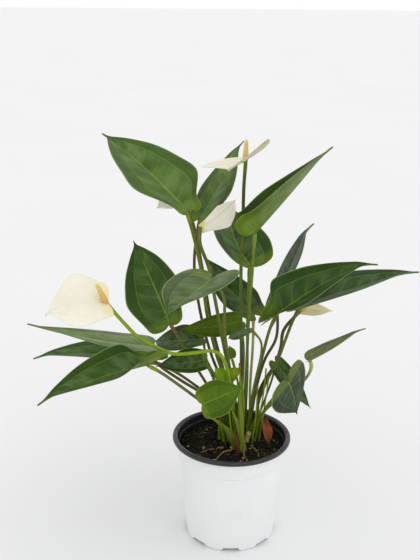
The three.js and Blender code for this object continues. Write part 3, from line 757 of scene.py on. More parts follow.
def plastic_material(name, colour, dust, rough_low, rough_high):
    """Moulded plastic: fine tooling texture, handling marks and a little dust."""
    material, tree, shader = new_material(name, Specular_IOR_Level=0.5)
    clouds = ramp(tree, grain(tree, 18, 4), 0.35, 0.7)
    base = blend(tree, maths(tree, "MULTIPLY", clouds, 0.35), rgba(colour), rgba(dust))
    specks = ramp(tree, grain(tree, 900, 1), 0.74, 0.8)
    base = blend(tree, maths(tree, "MULTIPLY", specks, 0.3), base, rgba((120, 104, 84)))
    scuffs = grain(tree, 90, 4, 0.6, (1, 1, 6))
    roughness = ramp(tree, scuffs, 0.3, 0.7, rough_low, rough_high)
    height = maths(tree, "MULTIPLY_ADD", grain(tree, 1500, 2), 0.3, grain(tree, 60, 2))
    finish_surface(tree, shader, base, roughness, height, 0.0003, 0.25)
    return material


def soil_material():
    """Damp peat: nearly black, with brown fibres and dull crumbs."""
    material, tree, shader = new_material("damp_peat", Specular_IOR_Level=0.25)
    paint = painted(tree).outputs["Color"]
    lumps = ramp(tree, grain(tree, 130, 5, 0.65), 0.3, 0.7, 0.35, 1.7)
    earth = blend(tree, 1.0, paint, lumps, "MULTIPLY")
    fibre = ramp(tree, grain(tree, 700, 3, 0.6, (1, 0.25, 1)), 0.62, 0.75)
    earth = blend(tree, maths(tree, "MULTIPLY", fibre, 0.35), earth, rgba((70, 54, 34)))
    roughness = ramp(tree, grain(tree, 300, 3), 0.3, 0.7, 0.75, 1.0)
    height = maths(tree, "MULTIPLY_ADD", grain(tree, 900, 4, 0.7), 0.4, grain(tree, 240, 4))
    finish_surface(tree, shader, earth, roughness, height, 0.0025, 1.0)
    return material


def floor_material():
    material, tree, shader = new_material("pale_floor", Specular_IOR_Level=0.1)
    tone = ramp(tree, grain(tree, 1.5, 2), 0.2, 0.8)
    colour = blend(tree, tone, rgba((233, 233, 234)), rgba((235, 235, 236)))
    finish_surface(tree, shader, colour, ramp(tree, tone, 0, 1, 0.85, 0.95), tone, 0.0001, 0.1)
    return material


# ---- blades -------------------------------------------------------------------------------


def outline(leaf):
    """Along, half width and rib root at ten places from the notch round one lobe to the tip."""
    lobe, widest, shoulder, taper = leaf["lobe"], leaf["widest"], leaf["shoulder"], leaf["taper"]
    beyond = 1 - widest
    round_off = 0.03 if shoulder < 1 else 0
    return np.array([
        (-0.72 * lobe, 0.13, 0),
        (-lobe, 0.42 * shoulder, 0),
        (-0.62 * lobe, 0.8 * shoulder, 0),
        (0.25 * widest, 0.97 * shoulder + round_off, 0.03),
        (widest, 1, 0.35 * widest + 0.02),
        (widest + 0.26 * beyond, 0.9, widest + 0.1 * beyond),
        (widest + 0.52 * beyond, 0.31 + 0.31 * taper, widest + 0.38 * beyond),
        (widest + 0.76 * beyond, 0.28 * taper, widest + 0.68 * beyond),
        (widest + 0.91 * beyond, 0.06 * taper, widest + 0.87 * beyond),
        (1, TIP_HALF_WIDTH, 1),
    ])


def blade_frame(leaf):
    """Base, axis, length and the directions up from the blade and across it."""
    base = np.array(leaf["base"], float)
    axis = np.array(leaf["tip"], float) - base
    length = np.linalg.norm(axis)
    axis = axis / length
    level = unit(np.array([0.0, 0.0, 1.0]) - axis[2] * axis)
    side = np.cross(axis, level)
    roll = math.radians(leaf["roll"])
    up = level * math.cos(roll) + side * math.sin(roll)
    return base, axis, length, up, np.cross(axis, up)


def midrib(leaf, along):
    base, axis, length, up, across = blade_frame(leaf)
    ahead = np.maximum(along, 0)
    bow = 4 * ahead * (1 - ahead) + 4 * np.minimum(along, 0)
    late = np.clip((along - HOOK_START) / (1 - HOOK_START), 0, 1) ** 2
    return (
        base
        + np.outer(late, leaf.get("hook", (0, 0, 0)))
        + np.outer(along, axis) * length
        + np.outer(bow, up) * length * leaf["arch"]
        + np.outer(bow, across) * length * leaf["sweep"]
    )


def blade_points(leaf, along, half, lift):
    """Points of the bent blade; half is signed, right is positive, and lift stands off its middle."""
    _, _, _, up, _ = blade_frame(leaf)
    step = 0.001
    tangent = unit(midrib(leaf, along + step) - midrib(leaf, along - step))
    normal = unit(up - (tangent @ up)[:, None] * tangent)
    across = np.cross(tangent, normal)
    share = np.abs(half)
    left, right = leaf["fold"]
    left_cup, right_cup = leaf.get("cup", (0, 0))
    curl = leaf["curl"]
    left_curl, right_curl = curl if isinstance(curl, tuple) else (curl, curl)
    near_base = np.clip(1 - along / CUP_REACH, 0, 1.3) ** 2
    fold = np.where(half > 0, right + right_cup * near_base, left + left_cup * near_base)
    fold = np.radians(fold)
    bend = np.radians(np.where(half > 0, right_curl, left_curl)) * share / 2
    chord = leaf["width"] / 2 * share * np.sinc(bend / math.pi)
    return (
        midrib(leaf, along)
        + across * (np.sign(half) * chord * np.cos(fold + bend))[:, None]
        + normal * (chord * np.sin(fold + bend) + lift)[:, None]
    )


def relief(leaf, rib, across, veins, quilt):
    """How far the upper face stands up between its veins and dips along them."""
    reach = np.abs(across)
    between = 1 - (2 * (((rib - VEIN_SWEEP * reach**2) * veins) % 1) - 1) ** 2
    inside = np.clip(reach / 0.15, 0, 1) * np.clip((VEIN_PLACE - reach) / 0.12, 0, 1)
    outside = np.clip((reach - VEIN_PLACE) / 0.1, 0, 1) * np.clip((1 - reach) / 0.15, 0, 1)
    size = leaf["width"] / 60
    puff = quilt * size * between * (inside + 0.5 * outside)
    groove = 0.5 * quilt * size * np.exp(-(((reach - VEIN_PLACE) / 0.035) ** 2))
    channel = 1.1 * quilt * size * np.exp(-((reach / 0.06) ** 2))
    return puff - groove - channel


def blade_mesh(
    leaf, rows=64, columns=37, thickness=BLADE_THICKNESS, veins=VEINS_PER_STEP, quilt=LEAF_QUILT
):
    """A closed blade of two skins, with the colour and the place of each of its points."""
    steps = np.linspace(0, OUTLINE_STEPS, rows)
    shape = outline(leaf)
    along_edge, half_edge, rib_root = (smooth_values(shape[:, k], steps) for k in range(3))
    half_edge = np.clip(half_edge, TIP_HALF_WIDTH, None)
    spread = math.pi / 2 * COLUMN_CROWDING
    share = np.sin(np.linspace(-1, 1, columns) * spread) / math.sin(spread)
    reach = np.abs(share)[None, :]
    along = rib_root[:, None] + (along_edge - rib_root)[:, None] * reach
    half = half_edge[:, None] * share[None, :]
    rib = np.repeat(steps[:, None], columns, 1)
    across = np.repeat(share[None, :], rows, 0)
    stand = relief(leaf, rib, across, veins, quilt)
    thin = thickness * (1 - EDGE_THINNING * reach**3) / 2
    keel = (np.exp(-((across / 0.05) ** 2)) * RIB_KEEL * thickness).ravel()
    skins, places, colours = [], [], []
    for side, key in ((1, "top"), (-1, "under")):
        lift = (stand + side * thin).ravel() - (keel if side < 0 else 0)
        skins.append(blade_points(leaf, along.ravel(), half.ravel(), lift))
        places.append(np.stack([rib.ravel(), across.ravel(), along.ravel()], 1))
        shade = np.tile(linear(leaf[key]), (rows * columns, 1))
        if side < 0 and "fade" in leaf:
            mix = np.clip(along.ravel() / 0.6, 0, 1)[:, None]
            shade = shade * (1 - mix) + linear(leaf["fade"]) * mix
        if "blush" in leaf:
            mix = np.clip((-across.ravel() - 0.3) / 0.6, 0, 1)[:, None]
            shade = shade * (1 - mix) + linear(leaf["blush"]) * mix
        colours.append(shade)
    return np.vstack(skins), shell_faces(rows, columns), np.vstack(colours), np.vstack(places)


# ---- stalks -------------------------------------------------------------------------------


def stalk_path(leaf):
    """From under the soil, straight up out of it, and by way of its bends to the blade's base."""
    foot = (*leaf["foot"], SOIL_TOP - STALK_SINK)
    neck = (*leaf["foot"], SOIL_TOP + NECK_HEIGHT)
    _, _, _, up, _ = blade_frame(leaf)
    end = np.array(leaf["base"], float) - up * 0.6
    return smooth_path([foot, neck, *leaf["via"], end], STALK_STEP)


def stalk_mesh(path, radius, colours, foot=1.55, joint=1.3, joint_length=13.0, sides=14):
    """A stalk: stout at the foot, slim along its length, with a thicker joint under the blade."""
    run = np.concatenate([[0], np.cumsum(np.linalg.norm(np.diff(path, axis=0), axis=1))])
    share = run / run[-1]
    to_end = run[-1] - run
    low = np.clip(1 - share / 0.3, 0, 1) ** 2
    high = np.clip(1 - np.abs(to_end - joint_length * 0.45) / (joint_length * 0.75), 0, 1)
    high = high**2 * (3 - 2 * high)
    radii = radius * (1 + (foot - 1) * low + (joint - 1) * high)
    angles = np.linspace(0, 2 * math.pi, sides, endpoint=False)
    points = around_path(path, radii[:, None], angles)
    low_colour, middle_colour, joint_colour = (linear(c) for c in colours)
    foot_share = np.clip(1 - share / 0.25, 0, 1)[:, None]
    joint_share = np.clip(1 - (to_end - joint_length * 0.6) / (joint_length * 0.6), 0, 1)[:, None]
    shade = middle_colour * (1 - foot_share) + low_colour * foot_share
    shade = shade * (1 - joint_share) + joint_colour * joint_share
    rings = len(path)
    place = np.zeros((rings, sides, 3))
    place[..., 0] = np.cos(angles)
    place[..., 1] = np.sin(angles)
    place[..., 2] = run[:, None]
    faces = grid_faces(rings, sides, wrap=True)
    first, last = rings * sides, rings * sides + 1
    for k in range(sides):
        n = (k + 1) % sides
        faces.append((n, k, first))
        faces.append(((rings - 1) * sides + k, (rings - 1) * sides + n, last))
    points = np.vstack([points, path[:1], path[-1:]])
    shade = np.vstack([np.repeat(shade, sides, 0), shade[:1], shade[-1:]])
    place = np.vstack([place.reshape(-1, 3), place[0, :1], place[-1, :1]])
    return points, faces, shade, place


def spadix_mesh(bloom, rings=90, sides=48):
    """A blunt finger set with tiny knobs in crossing spirals."""
    base, _, _, up, _ = blade_frame(bloom)
    start = base + up * 0.8
    tip = start + (np.array(bloom["spadix"], float) - start)
    share = np.linspace(0, 1, rings)
    path = start + np.outer(share, tip - start)
    radius = SPADIX_FOOT_RADIUS - SPADIX_TAPER * share
    radius = radius * np.sqrt(np.clip(1 - np.clip((share - 0.9) / 0.1, 0, 1) ** 2, 0.0025, 1))
    angles = np.linspace(0, 2 * math.pi, sides, endpoint=False)
    length = np.linalg.norm(tip - start)
    knobs_along = length / KNOB_LENGTH
    turn, run = np.meshgrid(angles / (2 * math.pi) * KNOBS_ROUND, share * knobs_along)
    knob = np.abs(np.sin(math.pi * (run + turn / 2)) * np.sin(math.pi * (run - turn / 2)))
    size = radius[:, None] * (1 + KNOB_SWELL * (knob - 0.4))
    points = around_path(path, size, angles)
    low, high = (linear(c) for c in bloom["finger"])
    shade = low + (high - low) * share[:, None]
    place = np.stack([turn, knob, run], -1).reshape(-1, 3)
    return points, tube_faces(rings, sides), np.repeat(shade, sides, 0), place


# ---- pot and soil -------------------------------------------------------------------------


def inner_radius(height):
    lean = (SHOULDER_RADIUS - BASE_RADIUS) / SHOULDER_HEIGHT
    return BASE_RADIUS + lean * height - WALL


def rounded(profile, radius, steps=4):
    """The profile with each inner corner turned by a small arc."""
    profile = [np.array(p, float) for p in profile]
    out = [profile[0]]
    for before, corner, after in zip(profile, profile[1:], profile[2:]):
        back, ahead = before - corner, after - corner
        cut = min(radius, np.linalg.norm(back) * 0.45, np.linalg.norm(ahead) * 0.45)
        start, end = corner + unit(back) * cut, corner + unit(ahead) * cut
        for share in np.linspace(0, 1, steps):
            out.append((1 - share) ** 2 * start + 2 * share * (1 - share) * corner + share**2 * end)
    out.append(profile[-1])
    return np.array(out)


def pot_profiles():
    """The white outside from the axis to under the rim, and the black rim and inside back to it."""
    under_rim = POT_HEIGHT - RIM_HEIGHT
    body_top = RIM_RADIUS - RIM_WIDTH
    ring_inner = BASE_RADIUS - FOOT_RING_WIDTH
    ledge = SOIL_TOP + 4
    outside = [
        (0, 0), (FLOOR_DISC_RADIUS, 0), (FLOOR_DISC_RADIUS + 1, FLOOR_RISE),
        (ring_inner - 0.6, FLOOR_RISE), (ring_inner, 0), (BASE_RADIUS - 0.9, 0), (BASE_RADIUS, 1),
        (BASE_RADIUS + 0.3, 6.1), (BASE_RADIUS + 0.75, 6.9), (SHOULDER_RADIUS, SHOULDER_HEIGHT - 1),
        (SHOULDER_RADIUS - 0.15, SHOULDER_HEIGHT - 0.2), (SHOULDER_RADIUS + 1.1, SHOULDER_HEIGHT + 1),
        (body_top - 0.3, under_rim - 0.6),
    ]
    inside = [
        (body_top - 0.3, under_rim - 0.6), (RIM_RADIUS - 0.9, under_rim), (RIM_RADIUS, under_rim + 1),
        (RIM_RADIUS, POT_HEIGHT - 1.2), (RIM_RADIUS - 1, POT_HEIGHT),
        (RIM_RADIUS - RIM_WIDTH + 0.8, POT_HEIGHT), (body_top - WALL, POT_HEIGHT - 1.4),
        (body_top - WALL - 0.6, ledge + 0.6), (inner_radius(ledge) + 0.2, ledge),
        (inner_radius(ledge) - 0.2, ledge - 1),
        (inner_radius(FLOOR_RISE + WALL), FLOOR_RISE + WALL),
        (FLOOR_DISC_RADIUS - 0.4, FLOOR_RISE + WALL), (FLOOR_DISC_RADIUS - 1.4, WALL), (0, WALL),
    ]
    return rounded(outside, 0.9), rounded(inside, 1.3)


def cutter(name, profile_points, depth_points):
    """A prism that cuts an opening: its outline at the near depth and again at the far one."""
    near, far = depth_points
    points = [(x, near, z) for x, z in profile_points] + [(x, far, z) for x, z in profile_points]
    count = len(profile_points)
    faces = [tuple(range(count)), tuple(range(2 * count - 1, count - 1, -1))]
    for k in range(count):
        n = (k + 1) % count
        faces.append((k, k + count, n + count, n))
    mesh = bpy.data.meshes.new(name)
    mesh.from_pydata([tuple(v * MM for v in p) for p in points], [], faces)
    made = bpy.data.objects.new(name, mesh)
    bpy.context.collection.objects.link(made)
    return made


def cut_away(piece, tool, angle):
    tool.rotation_euler = (0, 0, angle)
    change = piece.modifiers.new("cut", "BOOLEAN")
    change.operation = "DIFFERENCE"
    change.solver = "EXACT"
    change.object = tool
    bpy.context.view_layer.objects.active = piece
    bpy.ops.object.modifier_apply(modifier=change.name)


def make_pot(white, black):
    outside, inside = pot_profiles()
    profile = np.vstack([outside, inside[1:]])
    is_black = [i >= len(outside) - 1 for i in range(len(profile) - 1)]
    angles = np.linspace(0, 2 * math.pi, POT_SIDES, endpoint=False)
    ring = profile[1:-1]
    points = np.stack([
        ring[:, :1] * np.cos(angles), ring[:, :1] * np.sin(angles), ring[:, 1:] + 0 * angles,
    ], -1).reshape(-1, 3)
    points = np.vstack([points, (0, 0, profile[0][1]), (0, 0, profile[-1][1])])
    rows = len(ring)
    faces = grid_faces(rows, POT_SIDES, wrap=True)
    shades = [int(is_black[r + 1]) for r in range(rows - 1) for _ in range(POT_SIDES)]
    bottom, top = rows * POT_SIDES, rows * POT_SIDES + 1
    for k in range(POT_SIDES):
        n = (k + 1) % POT_SIDES
        faces.append((n, k, bottom))
        shades.append(0)
        faces.append(((rows - 1) * POT_SIDES + k, (rows - 1) * POT_SIDES + n, top))
        shades.append(1)
    shape = (points, faces, BARE_PLASTIC, None)
    pot = make_piece("nursery_pot", shape, [white, black], ["pot"], shades)
    low, waist, high = -1.0, 0.4, FLOOR_RISE - 0.2
    right = [(NOTCH_FOOT, low), (NOTCH_WAIST, waist), (NOTCH_TOP, high)]
    left = [(-x, z) for x, z in reversed(right)]
    outer_end = -(BASE_RADIUS + 4)
    inner_end = -(BASE_RADIUS - FOOT_RING_WIDTH - 2.2)
    notch = cutter("notch", [left[-1], *right, *left[:-1]], (outer_end, inner_end))
    for k in range(NOTCH_COUNT):
        cut_away(pot, notch, 2 * math.pi * k / NOTCH_COUNT)
    bpy.data.objects.remove(notch)
    around = np.linspace(0, 2 * math.pi, 20, endpoint=False)
    drain_points = [(DRAIN_RADIUS * math.cos(a), DRAIN_RADIUS * math.sin(a)) for a in around]
    drain = cutter("drain", drain_points, (2.0, 8.0))
    for vertex in drain.data.vertices:
        x, y, z = vertex.co
        vertex.co = (x + DRAIN_CIRCLE * MM, -z, y)
    drain.data.flip_normals()
    for k in range(DRAIN_COUNT):
        cut_away(pot, drain, 2 * math.pi * (k + 0.5) / DRAIN_COUNT)
    bpy.data.objects.remove(drain)
    pot.data.polygons.foreach_set("use_smooth", np.ones(len(pot.data.polygons), bool))
    pot.data.set_sharp_from_angle(angle=math.radians(40))
    return pot


def soil_height(x, y):
    """The top of the soil: lumpy, a little higher round the crown."""
    lumps = noise.noise(Vector((x * 0.09, y * 0.09, 3.7))) * 1.6
    crumbs = noise.noise(Vector((x * 0.35, y * 0.35, 9.1))) * 1.1
    fine = noise.noise(Vector((x * 0.9, y * 0.9, 1.3))) * 0.5
    mound = 3.0 * math.exp(-((x - 8) ** 2 + (y - 18) ** 2) / 500)
    return SOIL_TOP + lumps + crumbs + fine + mound


def make_soil(material):
    edge = inner_radius(SOIL_TOP) - MOULD_OFFSET
    rings, sides = 90, 200
    points = [(0, 0, soil_height(0, 0))]
    for r in range(1, rings + 1):
        radius = edge * r / rings
        for k in range(sides):
            angle = 2 * math.pi * k / sides
            x, y = radius * math.cos(angle), radius * math.sin(angle)
            points.append((x, y, soil_height(x, y)))
    bottom = FLOOR_RISE + WALL + 0.4
    low_edge = inner_radius(bottom) - MOULD_OFFSET
    for k in range(sides):
        angle = 2 * math.pi * k / sides
        points.append((low_edge * math.cos(angle), low_edge * math.sin(angle), bottom))
    faces = [(0, 1 + k, 1 + (k + 1) % sides) for k in range(sides)]
    faces += grid_faces(rings, sides, 1, flip=True, wrap=True)
    last = 1 + (rings - 1) * sides
    for k in range(sides):
        n = (k + 1) % sides
        faces.append((last + k, last + sides + k, last + sides + n, last + n))
    faces.append(tuple(last + sides + k for k in range(sides))[::-1])
    points = np.array(points)
    shade = np.tile(linear(PEAT), (len(points), 1))
    return make_piece("peat_soil", (points, faces, shade, None), material, ["soil"])


def scatter_place(random, margin=2.0):
    radius = (inner_radius(SOIL_TOP) - margin) * math.sqrt(random.uniform())
    angle = random.uniform(0, 2 * math.pi)
    return radius * math.cos(angle), radius * math.sin(angle)


def make_crumbs(material, random):
    """Bark chips and crumbs of peat lying on the soil."""
    corners = unit(np.array([
        (0, 0, 1), (0.9, 0, 0.4), (0.28, 0.85, 0.4), (-0.72, 0.53, 0.4), (-0.72, -0.53, 0.4),
        (0.28, -0.85, 0.4), (0.72, 0.53, -0.4), (-0.28, 0.85, -0.4), (-0.9, 0, -0.4),
        (-0.28, -0.85, -0.4), (0.72, -0.53, -0.4), (0, 0, -1),
    ]))
    shell = [
        (0, 1, 2), (0, 2, 3), (0, 3, 4), (0, 4, 5), (0, 5, 1), (1, 6, 2), (2, 7, 3), (3, 8, 4),
        (4, 9, 5), (5, 10, 1), (1, 10, 6), (2, 6, 7), (3, 7, 8), (4, 8, 9), (5, 9, 10),
        (11, 6, 10), (11, 7, 6), (11, 8, 7), (11, 9, 8), (11, 10, 9),
    ]
    browns = [(28, 22, 14), (48, 32, 18), (18, 15, 10), (78, 56, 34), (160, 142, 108), (60, 72, 28)]
    weights = [0.34, 0.2, 0.3, 0.09, 0.04, 0.03]
    points, faces, shade = [], [], []
    for _ in range(CRUMB_COUNT):
        x, y = scatter_place(random)
        size = 0.5 + 2.4 * random.uniform() ** 3
        stretch = np.array([1, random.uniform(0.45, 1), random.uniform(0.3, 0.8)])
        lump = corners * random.uniform(0.75, 1.2, (len(corners), 1)) * size * stretch
        turn = Matrix.Rotation(random.uniform(0, 2 * math.pi), 3, "Z")
        turn = turn @ Matrix.Rotation(random.uniform(-0.7, 0.7), 3, "X")
        lump = lump @ np.array(turn).T + (x, y, soil_height(x, y) + size * 0.2)
        start = len(points)
        points.extend(lump)
        faces.extend(tuple(start + i for i in face) for face in shell)
        colour = linear(browns[random.choice(len(browns), p=weights)])
        shade.extend([colour * random.uniform(0.7, 1.3)] * len(corners))
    return make_piece("peat_crumbs", (points, faces, np.array(shade), None), material, None)


def strand(path, radius, colour, sides=6, taper=0.6):
    """A thin closed strand along a path, tapering to its end."""
    radii = radius * (1 - taper * np.linspace(0, 1, len(path)))
    angles = np.linspace(0, 2 * math.pi, sides, endpoint=False)
    points = around_path(path, radii[:, None], angles)
    return points, tube_faces(len(path), sides), np.tile(linear(colour), (len(points), 1))


def joined(strands):
    """The points, faces and colours of several strands as one set."""
    points, faces, shades = [], [], []
    start = 0
    for strand_points, strand_faces, shade in strands:
        points.append(strand_points)
        faces.extend(tuple(start + i for i in face) for face in strand_faces)
        shades.append(shade)
        start += len(strand_points)
    return np.vstack(points), faces, np.vstack(shades)


def make_fibres(material, random):
    """Root hairs and fibres lying in loose curves on the soil."""
    tones = [(82, 60, 34), (66, 48, 28), (150, 126, 88), (48, 36, 22), (84, 90, 40)]
    fibres = []
    for _ in range(FIBRE_COUNT):
        x, y = scatter_place(random, 4.0)
        heading = random.uniform(0, 2 * math.pi)
        length = random.uniform(4, 14)
        bend = random.uniform(-1.6, 1.6)
        path = []
        for share in np.linspace(0, 1, 9):
            path.append((x, y, soil_height(x, y) + 0.35 + 0.9 * math.sin(math.pi * share)))
            heading += bend / 8
            x += length / 8 * math.cos(heading)
            y += length / 8 * math.sin(heading)
            if math.hypot(x, y) > inner_radius(SOIL_TOP) - 2.5:
                break
        if len(path) > 4:
            tone = tones[random.choice(len(tones), p=[0.34, 0.26, 0.14, 0.16, 0.1])]
            fibres.append(strand(np.array(path), random.uniform(0.18, 0.42), tone))
    return make_piece("peat_fibres", (*joined(fibres), None), material, None)


# ---- the plant ----------------------------------------------------------------------------


def make_leaf(leaf, skins, stalk_node, stalk_radius, rows=64, columns=37):
    """A blade and its stalk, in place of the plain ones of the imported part."""
    name = leaf["name"]
    blade = blade_mesh(leaf, rows, columns)
    painted_sheen = leaf.get("painted_sheen", 1.0)
    make_piece(f"leaf_{name}_blade", blade, skins["leaf"], [f"leaf_{name}"], painted_sheen=painted_sheen)
    stalk = stalk_mesh(stalk_path(leaf), stalk_radius, leaf["stalk"])
    make_piece(f"leaf_{name}_stalk", stalk, skins["stalk"], [stalk_node])


def make_bloom(bloom, skins):
    """A spathe on its stalk with its spadix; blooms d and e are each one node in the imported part."""
    name = bloom["name"]
    whole = name in "de"
    spathe_node = f"flower_{name}" if whole else f"spathe_{name}"
    stalk_node = f"flower_{name}" if whole else f"flower_stalk_{name}"
    spathe = blade_mesh(bloom, 60, 41, SPATHE_THICKNESS, 1.0, SPATHE_QUILT)
    make_piece(f"bloom_{name}_spathe", spathe, skins["spathe"], [spathe_node])
    stalk = stalk_mesh(stalk_path(bloom), FLOWER_STALK_RADIUS, bloom["stalk"], joint=1.12)
    make_piece(f"bloom_{name}_stalk", stalk, skins["stalk"], [stalk_node])
    spadix = spadix_mesh(bloom)
    make_piece(f"bloom_{name}_spadix", spadix, skins["spadix"], [f"spadix_{name}"])


def make_plant(skins):
    """Every leaf and bloom; the small leaves are each one node with their stalk."""
    for leaf in LEAVES:
        make_leaf(leaf, skins, f"petiole_{leaf['name']}", PETIOLE_RADIUS)
    for leaf in SMALL_LEAVES:
        make_leaf(leaf, skins, f"leaf_{leaf['name']}", SLIM_STALK_RADIUS, 44, 25)
    for bloom in BLOOMS:
        make_bloom(bloom, skins)


def sheath_mesh(points, radius, colours, sides=16):
    """A papery sheath: a thin shell part of the way round a stalk, narrowing to a point."""
    path = smooth_path(points, 1.6)
    share = np.linspace(0, 1, len(path))
    radii = radius * (1 - share**2.2) + 0.15
    spread = (2 * math.pi - SHEATH_OPENING) * (1 - 0.75 * share**1.5)
    turn = np.linspace(-0.5, 0.5, sides)
    angle = spread[:, None] * turn[None, :]
    shells, places, shades = [], [], []
    low, high = (linear(c) for c in colours)
    for offset in (SHEATH_HALF_WALL, -SHEATH_HALF_WALL):
        size = radii[:, None] + offset * (1 - 0.6 * np.abs(2 * turn[None, :]))
        shells.append(around_path(path, size, angle))
        place = np.zeros((len(path), sides, 3))
        place[..., 0] = 2.0 * turn[None, :]
        place[..., 2] = share[:, None] * 20
        places.append(place.reshape(-1, 3))
        shades.append(np.repeat(low + (high - low) * share[:, None], sides, 0))
    return np.vstack(shells), shell_faces(len(path), sides), np.vstack(shades), np.vstack(places)


SHEATHS = [
    dict(name="sheath_green", node="sheath_green", radius=3.4, tones=(LEAF_GREEN, LIME),
         along=[(9, -4, 121), (9.5, -7, 150), (9, -10, 177)]),
    dict(name="sheath_brown", node="sheath_brown", radius=2.6, tones=(RUST, (128, 80, 44)),
         along=[(9, -1, 96), (8, -3, 110), (6, -4, 122)]),
    dict(name="sheath_low_left", node=None, radius=4.4, tones=(DARK_GREEN, LEAF_GREEN),
         along=[(1, 4, 94), (-3, 2, 108), (-10, -2, 122)]),
    dict(name="sheath_low_right", node=None, radius=3.6, tones=(LEAF_GREEN, LEAF_GREEN),
         along=[(18, 12, 94), (21, 10, 110), (28, 7, 130)]),
    dict(name="sheath_rust", node=None, radius=2.2, tones=(RUST, (116, 74, 42)),
         along=[(7, -17, 95), (5, -18, 108), (2, -18, 122)]),
    dict(name="sheath_pale", node=None, radius=3.5, tones=((112, 112, 56), (134, 146, 62)),
         along=[(12, -14, 95), (7, -15, 124), (-1, -14, 144)]),
    dict(name="sheath_broad", node=None, radius=5.2, tones=(DARK_GREEN, LEAF_GREEN),
         along=[(8, -8, 94), (-3, -9, 116), (-15, -8, 129)]),
    dict(name="sheath_thin", node=None, radius=2.6, tones=(LEAF_GREEN, LIME),
         along=[(10, -15, 96), (9, -18, 134), (7, -18, 153), (5, -17, 171)]),
]

# A pair of first leaves and a few thin shoots that come up among the stalks.

TINY_LEAVES = [
    dict(
        name="tiny_left", base=(-7, -14, 176), tip=(-18, -15, 188), width=13, roll=-75,
        fold=(8, 8), curl=-6, arch=0.05, sweep=0, lobe=0.1, widest=0.35, shoulder=0.9, taper=1.5,
        top=FIRST_LEAF_PAINTED_LIGHT, under=FIRST_LEAF_PAINTED_LIGHT, painted_sheen=0.1,
    ),
    dict(
        name="tiny_right", base=(-6, -14, 176), tip=(6, -13, 188), width=13, roll=75,
        fold=(8, 8), curl=-6, arch=0.05, sweep=0, lobe=0.1, widest=0.35, shoulder=0.9, taper=1.5,
        top=FIRST_LEAF_PAINTED_LIGHT, under=FIRST_LEAF_PAINTED_LIGHT, painted_sheen=0.1,
    ),
]
TINY_STEM = [(2, -8, 95), (-2, -12, 130), (-6, -13, 160), (-6.5, -13.6, 176)]
SHOOTS = [
    [(24, 4, 95), (28, -2, 131), (31, -4, 154), (33, -6, 184)],
    [(28, 6, 95), (33, -2, 142), (36, -5, 175)],
    [(21, 0, 95), (24, -8, 136), (25, -9, 167)],
    [(9, -10, 95), (8, -12, 160), (6.5, -12, 186)],
]
BUD = [(6.6, -12, 183), (6.5, -12, 187), (6.3, -12, 192)]
BUD_TONES = ((150, 96, 40), (176, 104, 40), (150, 84, 36))
STUB = [(16, 2, SOIL_TOP - 3), (16, 2, SOIL_TOP + 5), (18, 0, SOIL_TOP + 13)]
ROOT_TONE = (150, 122, 78)
ROOTS = [
    [(2, -12), (-9, -19), (-15, -30), (-24, -36)],
    [(14, -12), (12, -22), (15, -34), (11, -41)],
    [(-8, -10), (-20, -12), (-31, -18)],
    [(20, -8), (27, -19), (26, -27)],
]


def make_sheaths(skins):
    for sheath in SHEATHS:
        shape = sheath_mesh(sheath["along"], sheath["radius"], sheath["tones"])
        nodes = [sheath["node"]] if sheath["node"] else None
        make_piece(sheath["name"], shape, skins["stalk"], nodes)


def make_shoots(skins):
    """The pair of first leaves, the thin shoots and the brown tip of a bud."""
    for leaf in TINY_LEAVES:
        shape = blade_mesh(leaf, 34, 19, DRY_THICKNESS)
        make_piece(leaf["name"], shape, skins["leaf"], None, painted_sheen=leaf["painted_sheen"])
    for i, shoot in enumerate([TINY_STEM, *SHOOTS]):
        path = smooth_path(shoot, 2.0)
        shape = stalk_mesh(path, SHOOT_RADIUS, (LEAF_GREEN, GRASS, LIME), 1.5, 1.15, 6.0, 10)
        make_piece(f"shoot_{i}", shape, skins["stalk"], None)
    shape = stalk_mesh(smooth_path(BUD, 0.8), BUD_RADIUS, BUD_TONES, 0.8, 1.0, 2.0, 10)
    make_piece("bud_tip", shape, skins["stalk"], None)


def make_roots(skins):
    """Roots that lie on the soil round the crown."""
    roots = []
    for root in ROOTS:
        path = smooth_path([(x, y, 0) for x, y in root], 1.5)
        for point in path:
            point[2] = soil_height(point[0], point[1]) + 0.5
        roots.append(strand(path, ROOT_RADIUS, ROOT_TONE, 9, 0.5))
    points, faces, shade = joined(roots)
    shape = (points, faces, shade, np.zeros((len(points), 3)))
    make_piece("surface_roots", shape, skins["stalk"], None)


def make_crown(skins):
    """The sheaths, dead leaf, shoots, roots and old stub at the foot of the stalks."""
    make_sheaths(skins)
    dry_blade = blade_mesh(DEAD_LEAF, 50, 33, DRY_THICKNESS, 1.2, DRY_QUILT)
    make_piece("dead_leaf_blade", dry_blade, skins["dry"], ["dead_leaf"])
    make_shoots(skins)
    make_roots(skins)
    path = smooth_path(STUB, 1.0)
    stub = stalk_mesh(path, STUB_RADIUS, (STRAW, CELERY, STRAW), 1.2, 1.0)
    make_piece("old_stub", stub, skins["stalk"], ["cut_stub"])


# ---- studio -------------------------------------------------------------------------------

TARGET = (-23.3, 0.0, 273.5)
CAMERA_DISTANCE = 824.8
CAMERA_PITCH = 17.73
CAMERA_ROLL = 0.49
LENS = 55.0
FLOOR_SIZE = 200.0
SKY = (1.0, 1.0, 1.003)
KEY_STRENGTH = 0.38
KEY_SOFTNESS = 70.0
KEY_HEADING = (-0.62, 0.42, -0.92)
FLOOR_DROP = 0.2


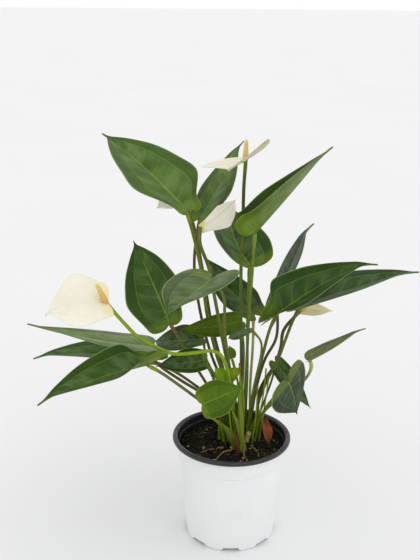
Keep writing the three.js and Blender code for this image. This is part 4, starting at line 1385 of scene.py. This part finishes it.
def make_camera():
    pitch, roll = math.radians(CAMERA_PITCH), math.radians(CAMERA_ROLL)
    ahead = Vector((0, math.cos(pitch), -math.sin(pitch)))
    right = Vector((1, 0, 0))
    up = Vector((0, math.sin(pitch), math.cos(pitch)))
    tilted_right = right * math.cos(roll) + up * math.sin(roll)
    tilted_up = up * math.cos(roll) - right * math.sin(roll)
    turn = Matrix((tilted_right, tilted_up, -ahead)).transposed().to_4x4()
    data = bpy.data.cameras.new("camera")
    data.lens = LENS
    data.clip_end = 1000
    camera = bpy.data.objects.new("camera", data)
    place = (Vector(TARGET) - ahead * CAMERA_DISTANCE) * MM
    camera.matrix_world = Matrix.Translation(place) @ turn
    bpy.context.collection.objects.link(camera)
    bpy.context.scene.camera = camera


def make_studio():
    mesh = bpy.data.meshes.new("floor")
    size = FLOOR_SIZE
    corners = [(-size, -size, 0), (size, -size, 0), (size, size, 0), (-size, size, 0)]
    mesh.from_pydata(corners, [], [(0, 1, 2, 3)])
    mesh.materials.append(floor_material())
    floor = bpy.data.objects.new("floor", mesh)
    floor.location.z = -FLOOR_DROP * MM
    bpy.context.collection.objects.link(floor)
    world = bpy.data.worlds.new("studio")
    world.use_nodes = True
    world.node_tree.nodes["Background"].inputs["Color"].default_value = (*SKY, 1)
    bpy.context.scene.world = world
    sun = bpy.data.lights.new("key", "SUN")
    sun.energy = KEY_STRENGTH
    sun.angle = math.radians(KEY_SOFTNESS)
    key = bpy.data.objects.new("key", sun)
    key.rotation_euler = Vector(KEY_HEADING).to_track_quat("-Z", "Y").to_euler()
    bpy.context.collection.objects.link(key)
    scene = bpy.context.scene
    scene.view_settings.view_transform = "Standard"
    scene.view_settings.look = "None"


# ---- make everything ----------------------------------------------------------------------

make_camera()
make_studio()
veins = vein_group()
skins = {
    "leaf": leaf_material(veins),
    "spathe": spathe_material(veins),
    "stalk": stalk_material(),
    "spadix": spadix_material(),
    "dry": dry_material(veins),
}
peat = soil_material()
make_pot(
    plastic_material("white_plastic", (236, 238, 238), (228, 230, 230), 0.32, 0.46),
    plastic_material("black_plastic", (34, 34, 35), (52, 51, 50), 0.3, 0.5),
)
make_soil(peat)
random = np.random.RandomState(SEED)
make_crumbs(peat, random)
make_fibres(peat, random)
make_plant(skins)
make_crown(skins)
